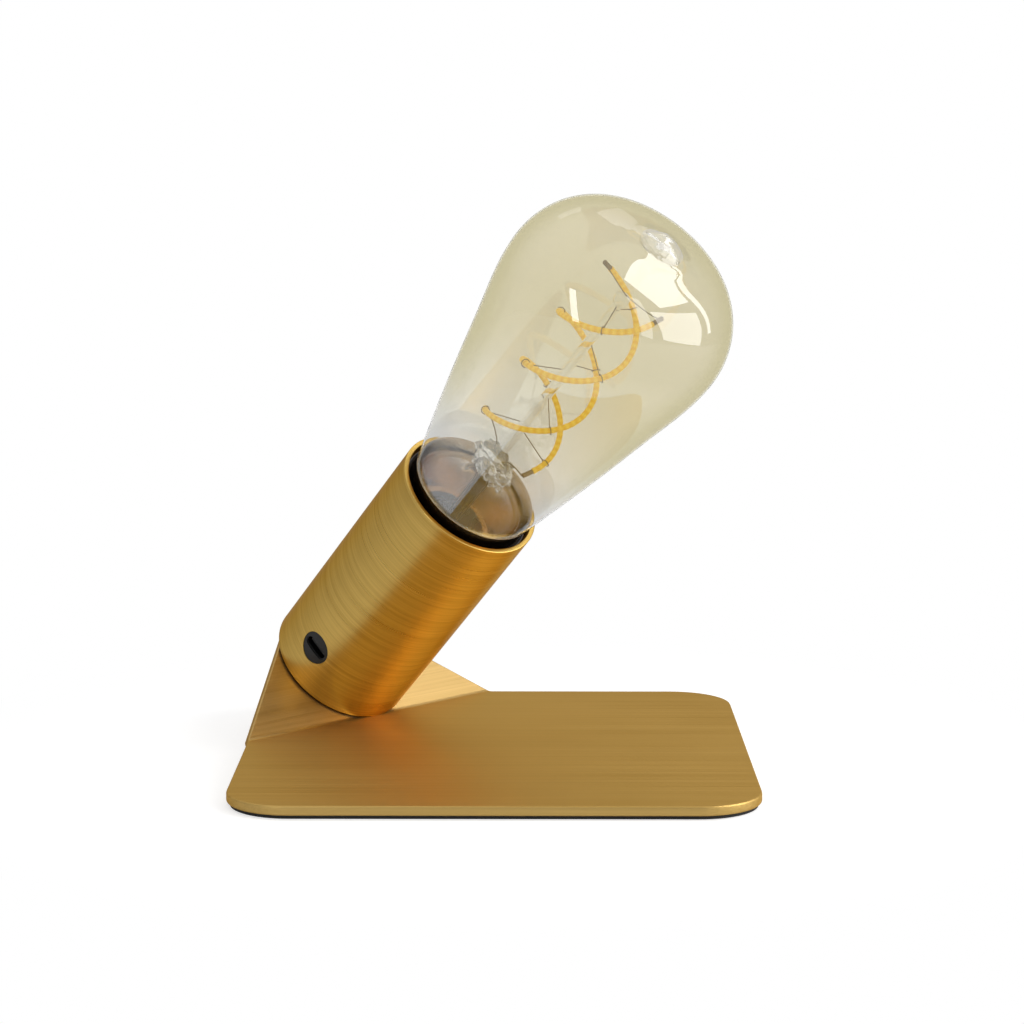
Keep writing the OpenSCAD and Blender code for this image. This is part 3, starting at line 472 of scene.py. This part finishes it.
SKIRT_TOP, SKIRT_LEN, SKIRT_R, SKIRT_FOOT_R, SKIRT_WALL = 0.003, 0.0155, 0.0198, 0.01355, 0.0004
on_rim = on_tube @ Matrix.Translation((0, 0, RIM_H))
skirt_outline = softened([
    (SKIRT_FOOT_R - SKIRT_WALL, SKIRT_TOP - SKIRT_LEN, 0), (SKIRT_FOOT_R, SKIRT_TOP - SKIRT_LEN, 0),
    (SKIRT_R, SKIRT_TOP, 0.00015), (SKIRT_R - SKIRT_WALL, SKIRT_TOP, 0.00015)])
spun_brass = Finish("spun_collar_brass")
spun_rings = spun_brass.noise(spun_brass.place(*along_tube, (20, 20, 1500)), 1.0, 2.0)
spun_brass.surface(Base_Color=spun_brass.blend((0.56, 0.36, 0.15, 1), (0.68, 0.46, 0.21, 1), spun_rings),
                   Metallic=1.0, Roughness=0.16 + spun_rings * 0.08,
                   Normal=spun_brass.bump(spun_rings, 6e-6, 0.4))
bulb_collar = shown("bulb_collar", turned("bulb_collar", skirt_outline, on_rim), spun_brass)
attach(bulb_collar, "bulb")
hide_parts("bulb_skirt")

# ---------------------------------------------------------------- bulb's glass
# Blown glass, a closed double wall 0.4 mm thick, with a gold tint that thins out towards
# the neck. The tip on top, where the blown tube was pinched off, is a solid drop.

GLASS_T, WIDEST_H, BULB_R, DOME_H, DOME_POWER = 0.0004, 0.0825, 0.0348, 0.02399, 0.61
MARKS = ((0.003, 0.0200, 0.23), (0.035, 0.0269, 0.2), (0.062, 0.032, 0.2), (WIDEST_H, BULB_R, 0.0))
NECK_DEPTH, NECK_R = 0.004, 0.01763
CROWN_UP, CROWN_R, DOME_STEPS = 0.002, 0.009, 48
TIP_R, TIP_UP, TIP_ROUGH = 0.0068, 0.0026, 0.0003


def clear_glass(name, ior, ripple, depth, shine, colour=(0.97, 0.975, 0.98)):
    """Glass that mirrors a share of its surroundings, all of them where it is seen edge on."""
    finish = Finish(name)
    waves = finish.noise(finish.place(), ripple, 2.0, 0.5)
    rim = finish.node("ShaderNodeLayerWeight", {}, {"Blend": 0.5}, output="Facing")
    rim = finish.node("ShaderNodeMapRange", {"interpolation_type": "SMOOTHSTEP"},
                      {"Value": rim, "From Min": 0.45, "From Max": 0.85, "To Min": shine, "To Max": 1.0})
    paler = tuple(0.4 + 0.6 * c for c in colour)
    return finish.surface(Base_Color=finish.blend((*colour, 1), (*paler, 1), waves), Roughness=0.0,
                          IOR=ior, Transmission_Weight=1.0, Coat_Weight=rim, Coat_IOR=2.6, Coat_Roughness=0.0,
                          Normal=finish.bump(waves, depth, 0.35))


def glass_side(wall, steps=20):
    """Half outline of the glass from the neck to the dome's top, as (radius, height)."""
    points = []
    for (h0, r0, s0), (h1, r1, s1) in zip(MARKS, MARKS[1:]):
        for i in range(steps):
            t, span = i / steps, h1 - h0
            r = ((2 * t ** 3 - 3 * t * t + 1) * r0 + (t ** 3 - 2 * t * t + t) * span * s0
                 + (3 * t * t - 2 * t ** 3) * r1 + (t ** 3 - t * t) * span * s1)
            points.append((r - wall, h0 + t * span))
    for i in range(DOME_STEPS + 1):
        a = math.radians(90 * i / DOME_STEPS)
        r = (BULB_R - wall) * max(math.cos(a), 0) ** DOME_POWER if i < DOME_STEPS else 0.0
        points.append((r, WIDEST_H + (DOME_H - wall) * math.sin(a) + CROWN_UP * math.exp(-(r / CROWN_R) ** 2)))
    return points


neck = [(NECK_R, SKIRT_TOP - NECK_DEPTH), (0.01925, SKIRT_TOP)]
outside = neck + glass_side(0.0)
inside = [(r - GLASS_T, h) for r, h in neck] + glass_side(GLASS_T)


def with_tip(points, radius, rise, steps=32):
    """Raises a small rounded nub out of the dome's top, flowing into it all round."""
    kept = [p for p in points if p[1] < WIDEST_H or p[0] > radius * 1.35]
    crown = max(points, key=lambda p: p[1])[1]
    foot_r, foot_h = kept[-1]
    nub = []
    for i in range(1, steps + 1):
        r = foot_r * (1 - i / steps)
        dome = crown - (crown - foot_h) * (r / foot_r) ** 2
        swell = math.cos(math.pi / 2 * min(1, r / radius)) ** 1.1
        nub.append((r if i < steps else 0.0, dome + rise * swell))
    return kept + nub


glass_mesh = turned("bulb_glass", with_tip(outside, TIP_R, TIP_UP) + list(reversed(inside)),
                    on_rim, 240, 60)
to_rim = on_rim.inverted()
for v in glass_mesh.vertices:
    spot = to_rim @ v.co
    near = max(0, 1 - math.hypot(spot.x, spot.y) / (TIP_R * 1.2)) if spot.z > WIDEST_H else 0
    uneven = TIP_ROUGH * min(1, near * 2.5) * (noise.noise(spot * 360) - 0.3)
    v.co += on_rim.to_3x3() @ Vector((0, 0, uneven))
for face in glass_mesh.polygons:
    spot = to_rim @ face.center
    if spot.z > WIDEST_H and math.hypot(spot.x, spot.y) < TIP_R:
        face.material_index = 1
sealed = clear_glass("sealed_tip_glass", 1.28, 200.0, 2e-4, 0.34, (0.87, 0.84, 0.74))
amber = Finish("gold_tinted_glass")
from_rim = amber.place(tuple(to_rim.to_euler()), tuple(to_rim.translation))
along_bulb = amber.node("ShaderNodeSeparateXYZ", {}, {0: from_rim}, output="Z")
tint = amber.node("ShaderNodeMapRange", {"interpolation_type": "SMOOTHSTEP"},
                  {"Value": along_bulb, "From Min": 0.004, "From Max": 0.050})
slanting = amber.node("ShaderNodeLayerWeight", {}, {"Blend": 0.5}, output="Facing")
edge = amber.node("ShaderNodeMapRange", {"interpolation_type": "SMOOTHSTEP"},
                  {"Value": slanting, "From Min": 0.36, "From Max": 0.72})
amber_wave = amber.noise(amber.place(), 30.0, 1.0)
middle = amber.blend((0.90, 0.91, 0.93, 1), (0.82, 0.78, 0.63, 1), tint)
# Where the glass is seen edge on its colour turns darker and greyer: partly the longer path through the tint,
# partly painted shade and reflection of the grey room.
edge_tint_and_shade = amber.blend((0.84, 0.845, 0.85, 1), (0.765, 0.73, 0.572, 1), tint)
amber.surface(Base_Color=amber.blend(middle, edge_tint_and_shade, edge),
              Roughness=0.0, IOR=1.025, Transmission_Weight=1.0, Coat_IOR=2.3, Coat_Roughness=0.0,
              Coat_Weight=(1.0 - edge * 0.85) * (1.0 - tint * 0.44),
              Normal=amber.bump(amber_wave, 1e-4, 0.05))
bulb_glass = shown("bulb_glass_blown", glass_mesh, amber, sealed)
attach(bulb_glass, "bulb")
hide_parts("bulb_glass")

# ---------------------------------------------------------------- stem
# Clear lead glass: a flare fused into the neck, pinched into a lumpy press round the two
# lead wires, with the cut exhaust tube below and a rod on top that carries the strands.

PRESS = (0.009, 0.016)
flare_foot = SKIRT_TOP - NECK_DEPTH
clear = clear_glass("clear_lead_glass", 1.35, 140.0, 2e-4, 0.25)
flared = clear_glass("flared_lead_glass", 1.12, 140.0, 2e-4, 0.12)
drawn = clear_glass("drawn_lead_glass", 1.1, 140.0, 1e-4, 0.7)
pinched = clear_glass("pinched_lead_glass", 1.35, 420.0, 6e-4, 1.0)
flare_outline = softened([
    (0.0156, flare_foot, 0), (0.01656, flare_foot, 0), (0.01656, flare_foot + 0.0014, 0.0006),
    (0.0110, flare_foot + 0.0044, 0.002), (0.0066, flare_foot + 0.0066, 0.0015), (0.0048, PRESS[0], 0.0005),
    (0.0048, PRESS[0] + 0.001, 0), (0.0038, PRESS[0] + 0.001, 0), (0.0038, PRESS[0] - 0.0006, 0.0005),
    (0.0058, flare_foot + 0.0058, 0.0012), (0.0104, flare_foot + 0.0035, 0.002),
    (0.0156, flare_foot + 0.0009, 0)])
PRESS_SIZE, PRESS_MID, PRESS_LUMPS = (0.0096, 0.0050, 0.0070), 0.0136, 130
press = bmesh.new()
bmesh.ops.create_icosphere(press, subdivisions=6, radius=1.0)
rough = np.random.default_rng(7)
ways = [Vector(w).normalized() for w in rough.normal(size=(PRESS_LUMPS, 3))]
lumps = [(w, rough.uniform(-0.16, 0.20), rough.uniform(0.10, 0.24)) for w in ways]
for v in press.verts:
    way = v.co.normalized()
    lump = sum(size * math.exp(-((way - at).length / wide) ** 2) for at, size, wide in lumps)
    v.co = way * (0.82 + lump)
    v.co = Vector((v.co.x * PRESS_SIZE[0], v.co.y * PRESS_SIZE[1], PRESS_MID + v.co.z * PRESS_SIZE[2]))
for face in press.faces:
    face.smooth = True
press.transform(on_rim @ Matrix.Rotation(-TURN, 4, "Z"))
stem_mesh = bpy.data.meshes.new("stem_press")
press.to_mesh(stem_mesh)
press.free()
stem_press = shown("stem_press", stem_mesh, pinched)
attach(stem_press, "bulb")
stem_flare = shown("stem_flare", turned("stem_flare", flare_outline, on_rim, 120), flared)
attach(stem_flare, "bulb")
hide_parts("stem")

ROD_R, ROD_TOP = 0.0015, 0.088
rod_outline = softened([
    (0.0, PRESS[1], 0), (ROD_R, PRESS[1], 0), (ROD_R, ROD_TOP - 0.0036, 0.0008),
    (ROD_R + 0.0008, ROD_TOP - 0.0026, 0.0006), (ROD_R + 0.0008, ROD_TOP - 0.0006, 0.0006),
    (ROD_R, ROD_TOP, 0.0004), (0.0, ROD_TOP, 0)])
glass_rod = shown("glass_rod", turned("glass_rod", rod_outline, on_rim, 48, 60), drawn)
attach(glass_rod, "bulb")
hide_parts("centre_rod")

exhaust_outline = softened([
    (0.0011, -0.010, 0.0003), (0.0019, -0.010, 0.0003), (0.0019, PRESS[0], 0), (0.0011, PRESS[0], 0)])
exhaust_glass = shown("exhaust_glass", turned("exhaust_glass", exhaust_outline, on_rim, 48, 60), clear)
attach(exhaust_glass, "bulb")
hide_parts("exhaust_tube")

# ---------------------------------------------------------------- filament
# Two strands of yellow silicone over a row of tiny diodes, wound round the rod a little
# over half a turn apart. The silicone is slightly thicker over each diode.

SPIRAL_R, SPIRAL_PITCH, SPIRAL_TURNS, STRAND_D, DIODE_STEP = 0.012, 0.0425, 1.45, 0.0018, 0.0021
STRAND_LOW, STRAND_STEP, STRAND_TURN = 0.025, 0.0025, math.radians(206)
on_strands = on_rim @ Matrix.Rotation(-TURN, 4, "Z")


class Growth:
    """A Geometry Nodes tree. node() adds any node; sockets take values, or other nodes' outputs."""

    def __init__(self, name, **sizes):
        self.tree = bpy.data.node_groups.new(name, "GeometryNodeTree")
        self.identifiers, self.values = {}, dict(sizes)
        for label, value in sizes.items():
            kind = "NodeSocketInt" if isinstance(value, int) else "NodeSocketFloat"
            made = self.tree.interface.new_socket(label.replace("_", " "), in_out="INPUT", socket_type=kind)
            made.default_value = value
            self.identifiers[label] = made.identifier
        self.tree.interface.new_socket("Geometry", in_out="OUTPUT", socket_type="NodeSocketGeometry")
        self.sizes = self.tree.nodes.new("NodeGroupInput")

    def size(self, label):
        return self.sizes.outputs[label.replace("_", " ")]

    def node(self, kind, settings=None, sockets=None, output=0):
        made = self.tree.nodes.new(kind)
        for key, value in (settings or {}).items():
            setattr(made, key, value)
        for key, value in (sockets or {}).items():
            for one in value if isinstance(value, list) else [value]:
                if isinstance(one, bpy.types.NodeSocket):
                    self.tree.links.new(one, made.inputs[key])
                else:
                    made.inputs[key].default_value = one
        return made.outputs[output]

    def math(self, operation, *terms):
        return self.node("ShaderNodeMath", {"operation": operation}, dict(enumerate(terms)))

    def grown(self, geometry, finish, place):
        """The tree's result as a plain mesh, moved to its place."""
        whole = self.node("GeometryNodeRealizeInstances", {}, {0: geometry})
        whole = self.node("GeometryNodeSetMaterial", {}, {"Geometry": whole, "Material": finish.material})
        end = self.tree.nodes.new("NodeGroupOutput")
        self.tree.links.new(whole, end.inputs[0])
        body = bpy.data.objects.new(self.tree.name, bpy.data.meshes.new(self.tree.name))
        bpy.context.scene.collection.objects.link(body)
        grow = body.modifiers.new("grow", "NODES")
        grow.node_group = self.tree
        for label, value in self.values.items():
            grow[self.identifiers[label]] = value
        mesh = bpy.data.meshes.new_from_object(body.evaluated_get(bpy.context.evaluated_depsgraph_get()))
        bpy.data.objects.remove(body)
        mesh.transform(place)
        mesh.materials.clear()
        return mesh


spiral = Growth("spiral_strands", Radius=SPIRAL_R, Pitch=SPIRAL_PITCH, Turns=SPIRAL_TURNS,
                Thickness=STRAND_D, Low=STRAND_LOW, Step=STRAND_STEP, Half_Turn=STRAND_TURN)
strand_line = spiral.node("GeometryNodeCurvePrimitiveLine", {}, {"Start": (0, 0, 0), "End": (0, 0, 1)})
strand_line = spiral.node("GeometryNodeResampleCurve", {}, {"Curve": strand_line, "Count": 260})
share = spiral.node("GeometryNodeSplineParameter")
angle = spiral.math("MULTIPLY", spiral.math("MULTIPLY", share, spiral.size("Turns")), 2 * math.pi)
where = spiral.node("ShaderNodeCombineXYZ", {}, {
    "X": spiral.math("MULTIPLY", spiral.math("COSINE", angle), spiral.size("Radius")),
    "Y": spiral.math("MULTIPLY", spiral.math("SINE", angle), spiral.size("Radius")),
    "Z": spiral.math("MULTIPLY", spiral.math("MULTIPLY", share, spiral.size("Turns")), spiral.size("Pitch"))})
strand_line = spiral.node("GeometryNodeSetPosition", {}, {"Geometry": strand_line, "Position": where})
length = spiral.node("GeometryNodeSplineParameter", output="Length")
strand_line = spiral.node("GeometryNodeStoreNamedAttribute", {"data_type": "FLOAT", "domain": "POINT"},
                          {"Geometry": strand_line, "Name": "along_strand", "Value": length})
swell = spiral.math("SINE", spiral.math("MULTIPLY", length, 2 * math.pi / DIODE_STEP))
swell = spiral.math("ADD", 0.955, spiral.math("MULTIPLY", 0.045, swell))
section = spiral.node("GeometryNodeCurvePrimitiveCircle", {}, {
    "Resolution": 14, "Radius": spiral.math("MULTIPLY", spiral.size("Thickness"), 0.5)})
strand_line = spiral.node("GeometryNodeSetCurveRadius", {}, {"Curve": strand_line, "Radius": swell})
strand = spiral.node("GeometryNodeCurveToMesh", {}, {
    "Curve": strand_line, "Profile Curve": section, "Fill Caps": True, "Scale": swell})
spots = spiral.node("GeometryNodeMeshLine", {}, {
    "Count": 2, "Start Location": spiral.node("ShaderNodeCombineXYZ", {}, {"Z": spiral.size("Low")}),
    "Offset": spiral.node("ShaderNodeCombineXYZ", {}, {"Z": spiral.size("Step")})})
which = spiral.node("GeometryNodeInputIndex")
facing = spiral.node("ShaderNodeCombineXYZ", {}, {
    "Z": spiral.math("MULTIPLY", which, spiral.size("Half_Turn"))})
strands = spiral.node("GeometryNodeInstanceOnPoints", {}, {
    "Points": spots, "Instance": strand, "Rotation": facing})

silicone = Finish("yellow_silicone")
along = silicone.node("ShaderNodeAttribute", {"attribute_name": "along_strand"}, output="Fac")
diode = along.sum_of("SINE", along * (2 * math.pi / DIODE_STEP)) * 0.5 + 0.5
silicone_speck = silicone.noise(silicone.place(), 2600.0, 2.0)
# The silicone glows faintly though the bulb is off: a painted glow.
silicone.surface(
    Base_Color=silicone.blend((0.86, 0.50, 0.03, 1), (1.0, 0.80, 0.16, 1), diode * 0.6 + silicone_speck * 0.4),
    Roughness=0.42, Emission_Color=(1.0, 0.62, 0.10, 1), Emission_Strength=0.22,
    Normal=silicone.bump(silicone_speck, 5e-5, 0.4))
strand_mesh = spiral.grown(strands, silicone, on_strands)
filament_strands = shown("filament_strands", strand_mesh, silicone)
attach(filament_strands, "bulb")
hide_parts("filament")

# ---------------------------------------------------------------- supports and wires
# Fine nickel-iron wires: five from the rod to each strand, each bent into a small ring round
# it, one over the rod's top, and the lead wires of the press. The strands end in crimped clips.

WIRE_R, WIRE_GAP, CLIP_LEN, SUPPORT_RISE = 0.00014, 0.0003, 0.0034, 0.0025
SUPPORT_FIRST, SUPPORT_STEP = math.radians(20), math.radians(110)
wire_metal = Finish("drawn_wire")
wire_scale = wire_metal.noise(wire_metal.place(), 1500.0, 2.0)
wire_metal.surface(Base_Color=wire_metal.blend((0.20, 0.16, 0.11, 1), (0.46, 0.38, 0.27, 1), wire_scale),
                   Metallic=1.0, Roughness=0.3 + wire_scale * 0.2,
                   Normal=wire_metal.bump(wire_scale, 1e-5, 0.3))
paint(wire_metal, "filament_terminals")

carriers = Growth("wire_supports", Radius=SPIRAL_R, Pitch=SPIRAL_PITCH, Low=STRAND_LOW, Step=STRAND_STEP,
                  Half_Turn=STRAND_TURN, First=SUPPORT_FIRST, Every=SUPPORT_STEP, Count=5)
thin = carriers.node("GeometryNodeCurvePrimitiveCircle", {}, {"Resolution": 6, "Radius": WIRE_R})
climb = math.atan2(SPIRAL_PITCH, 2 * math.pi * SPIRAL_R)
ring_r = STRAND_D / 2 + WIRE_GAP
loop = carriers.node("GeometryNodeCurvePrimitiveCircle", {}, {"Resolution": 20, "Radius": ring_r})
loop = carriers.node("GeometryNodeTransform", {}, {0: loop, "Rotation": (climb - math.pi / 2, 0, 0)})
stay = carriers.node("GeometryNodeCurvePrimitiveLine", {}, {
    "Start": (ROD_R + 0.0001 - SPIRAL_R, 0, SUPPORT_RISE), "End": (-ring_r, 0, 0)})
one = carriers.node("GeometryNodeJoinGeometry", {}, {0: [loop, stay]})
one = carriers.node("GeometryNodeCurveToMesh", {}, {"Curve": one, "Profile Curve": thin, "Fill Caps": True})
number = carriers.node("GeometryNodeInputIndex")
turn = carriers.math("ADD", carriers.size("First"), carriers.math("MULTIPLY", number, carriers.size("Every")))
place = carriers.node("ShaderNodeCombineXYZ", {}, {
    "X": carriers.math("MULTIPLY", carriers.math("COSINE", turn), carriers.size("Radius")),
    "Y": carriers.math("MULTIPLY", carriers.math("SINE", turn), carriers.size("Radius")),
    "Z": carriers.math("MULTIPLY", carriers.math("DIVIDE", turn, 2 * math.pi), carriers.size("Pitch"))})
row = carriers.node("GeometryNodeMeshLine", {}, {"Count": carriers.size("Count"), "Offset": (0, 0, 0.001)})
row = carriers.node("GeometryNodeSetPosition", {}, {"Geometry": row, "Position": place})
facing = carriers.node("ShaderNodeCombineXYZ", {}, {"Z": turn})
row = carriers.node("GeometryNodeInstanceOnPoints", {}, {"Points": row, "Instance": one, "Rotation": facing})
pair = carriers.node("GeometryNodeMeshLine", {}, {
    "Count": 2, "Start Location": carriers.node("ShaderNodeCombineXYZ", {}, {"Z": carriers.size("Low")}),
    "Offset": carriers.node("ShaderNodeCombineXYZ", {}, {"Z": carriers.size("Step")})})
second = carriers.math("MULTIPLY", carriers.node("GeometryNodeInputIndex"), carriers.size("Half_Turn"))
facing = carriers.node("ShaderNodeCombineXYZ", {}, {"Z": second})
both = carriers.node("GeometryNodeInstanceOnPoints", {}, {
    "Points": pair, "Instance": row, "Rotation": facing})
support_mesh = carriers.grown(both, wire_metal, on_strands)


def strand_end(strand, turned, reach):
    """A point beyond a strand's end, along its own direction."""
    def point(a):
        start = STRAND_TURN if strand else 0
        return Vector((SPIRAL_R * math.cos(start + a), SPIRAL_R * math.sin(start + a),
                       STRAND_LOW + strand * STRAND_STEP + SPIRAL_PITCH * a / (2 * math.pi)))
    return point(turned) + (point(turned + 0.01) - point(turned - 0.01)).normalized() * reach


def bent_wires(name, thickness, bends):
    """Wires of one thickness, each a single bend from its start past a corner to its end."""
    wires = Growth(name, Thickness=thickness)
    lines = [wires.node("GeometryNodeCurveQuadraticBezier", {}, {
        "Resolution": 16, "Start": a, "Middle": b, "End": c}) for a, b, c in bends]
    section = wires.node("GeometryNodeCurvePrimitiveCircle", {}, {
        "Resolution": 6, "Radius": wires.math("MULTIPLY", wires.size("Thickness"), 0.5)})
    joined = wires.node("GeometryNodeJoinGeometry", {}, {0: lines})
    swept = wires.node("GeometryNodeCurveToMesh", {}, {
        "Curve": joined, "Profile Curve": section, "Fill Caps": True})
    return wires.grown(swept, wire_metal, on_strands)


full = 2 * math.pi * SPIRAL_TURNS
over = Vector((0, 0, ROD_TOP + WIRE_GAP))
ends = [strand_end(k, full, CLIP_LEN + WIRE_GAP) for k in (0, 1)]
bridge_mesh = bent_wires("bridge_wire", 2 * WIRE_R, [(e, Vector((e.x, e.y, over.z)), over) for e in ends])
joined = bmesh.new()
joined.from_mesh(support_mesh)
joined.from_mesh(bridge_mesh)
joined.to_mesh(support_mesh)
joined.free()
fine_supports = shown("fine_supports", support_mesh, wire_metal)
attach(fine_supports, "bulb")
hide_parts("filament_supports")

LEAD_D, LEAD_X, LEAD_FOOT_X = 0.0004, 0.0026, 0.0024
PRESS_OUT, PRESS_IN, LEAD_END = 0.0170, 0.0090, -0.0134
bends = []
for k, side in ((0, 1), (1, -1)):
    clip = strand_end(k, 0, -CLIP_LEN - 0.0002)
    out = Vector((side * LEAD_X, 0, PRESS_OUT))
    bends += [(out, out + Vector((0, 0, (clip.z - out.z) / 2)), clip),
              (Vector((side * LEAD_X, 0, PRESS_IN)), Vector((side * LEAD_FOOT_X, 0, 0)),
               Vector((side * LEAD_FOOT_X, 0, LEAD_END)))]
bent_leads = shown("bent_leads", bent_wires("bent_leads", LEAD_D, bends), wire_metal)
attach(bent_leads, "bulb")
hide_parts("lead_wires")

# ---------------------------------------------------------------- camera
# It stands where the photo was taken from: straight in front, about 0.8 m away and a
# little above the top of the bulb, looking slightly down through a long lens.

camera = bpy.data.cameras.new("camera")
camera.sensor_width, camera.lens = 36.0, 93.734
camera.clip_start, camera.clip_end = 0.05, 20.0
bpy.context.scene.camera = bpy.data.objects.new("camera", camera)
bpy.context.scene.collection.objects.link(bpy.context.scene.camera)
yaw, pitch, roll = -0.00211, 0.14459, 0.00092
ahead = Vector((math.sin(yaw) * math.cos(pitch), math.cos(yaw) * math.cos(pitch), -math.sin(pitch)))
right = Vector((math.cos(yaw), -math.sin(yaw), 0))
above = right.cross(ahead)
right, above = (right * math.cos(roll) + above * math.sin(roll),
                above * math.cos(roll) - right * math.sin(roll))
view = Matrix((right, above, -ahead)).transposed().to_4x4()
view.translation = (0.0064455, -0.784009, 0.188329)
bpy.context.scene.camera.matrix_world = view

# ---------------------------------------------------------------- studio
# Pale floor and surround, white to the camera and through glass; the floor keeps the
# shadow. On the right are two soft windows, one over the other, between two tall strips;
# one more strip stands in front on the left, and two small lamps hang behind.


def seen_directly(finish, glossy):
    """1 for rays of the camera or through glass, and a share of that for mirrored ones."""
    ray = finish.node("ShaderNodeLightPath", output="Is Camera Ray")
    through = ray.also("Is Transmission Ray")
    shine = ray.also("Is Glossy Ray")
    return ray.sum_of("MAXIMUM", ray.sum_of("MAXIMUM", ray, through), shine * glossy)


FLOOR_NEAR, FLOOR_FAR, FLOOR_GLOW = 0.09, 0.18, 0.62
floor_mesh = bpy.data.meshes.new("floor")
floor_mesh.from_pydata([(-4, -4, 0), (4, -4, 0), (4, 4, 0), (-4, 4, 0)], [], [(0, 1, 2, 3)])
paper = Finish("pale_floor")
paper_fibre = paper.noise(paper.place(), 60.0, 2.0)
paper_tone = paper.blend((0.62, 0.62, 0.62, 1), (0.65, 0.65, 0.65, 1), paper_fibre)
away = paper.node("ShaderNodeVectorMath", {"operation": "LENGTH"}, {0: paper.place()}, output="Value")
far = paper.node("ShaderNodeMapRange", {"interpolation_type": "SMOOTHSTEP"},
                 {"Value": away, "From Min": FLOOR_NEAR, "From Max": FLOOR_FAR})
paper.surface(Base_Color=paper.blend(paper_tone, (0.5, 0.5, 0.5, 1), far), Roughness=0.9)
lit = Signal(paper, paper.shader.outputs[0])
white = paper.node("ShaderNodeEmission", {}, {"Color": (1, 1, 1, 1), "Strength": 1.0})
glow = paper.node("ShaderNodeEmission", {}, {"Color": (1, 1, 1, 1), "Strength": FLOOR_GLOW})
near = paper.node("ShaderNodeAddShader", {}, {0: lit, 1: glow})
direct = paper.node("ShaderNodeMixShader", {}, {0: far, 1: near, 2: white})
mixed = paper.node("ShaderNodeMixShader", {}, {0: seen_directly(paper, 0.2), 1: lit, 2: direct})
paper.tree.links.new(mixed.socket, paper.tree.nodes["Material Output"].inputs["Surface"])
floor = shown("floor", floor_mesh, paper)
floor.location.z = -0.0002

surround = Finish("surround", world=True)
bpy.context.scene.world = surround.material
compass = surround.node("ShaderNodeTexCoord", output="Generated")
compass = surround.node("ShaderNodeSeparateXYZ", {}, {0: compass})
ceiling = surround.node("ShaderNodeMapRange", {}, {
    "Value": compass.also("Z"), "From Min": 0.25, "From Max": 0.85, "To Min": 0.34, "To Max": 0.68})
front = surround.node("ShaderNodeMapRange", {}, {
    "Value": compass.also("Y"), "From Min": -0.9, "From Max": 0.1, "To Min": 0.45, "To Max": 1.0})
surround.surface(Color=(1, 1, 1, 1), Strength=surround.node("ShaderNodeMapRange", {}, {
    "Value": seen_directly(surround, 0.12), "To Min": ceiling * front, "To Max": 1.0}))

BULB_AT = Vector((0.04, -0.055, 0.14))


def soft_lamp(name, at, width, height, power, lean=0.0):
    """A soft rectangular lamp aimed at the bulb."""
    lamp = bpy.data.lights.new(name, "AREA")
    lamp.shape, lamp.size, lamp.size_y, lamp.energy = "RECTANGLE", width, height, power
    made = bpy.data.objects.new(name, lamp)
    bpy.context.scene.collection.objects.link(made)
    aim = (BULB_AT - Vector(at)).to_track_quat("-Z", "Y").to_matrix().to_4x4()
    made.matrix_world = Matrix.Translation(at) @ aim @ Matrix.Rotation(math.radians(lean), 4, "Z")
    made.visible_camera = made.visible_transmission = False


soft_lamp("window_low", (0.9, -0.25, 0.33), 0.66, 0.56, 3.8, -8)
soft_lamp("window_high", (0.9, -0.05, 1.02), 0.58, 0.50, 4.0, -5)
soft_lamp("window_side", (0.9, 0.24, 0.62), 0.07, 0.95, 0.9, -8)
soft_lamp("window_wall", (0.9, -0.92, 0.60), 0.26, 1.10, 1.7, -12)
soft_lamp("window_front", (-0.45, -0.86, 0.42), 0.13, 0.62, 1.2)
soft_lamp("lamp_above", (-0.10, 0.62, 1.10), 0.34, 0.16, 0.16)
soft_lamp("lamp_back", (0.44, 0.64, 1.05), 0.22, 0.30, 0.28)

bpy.context.scene.view_settings.view_transform = "Standard"
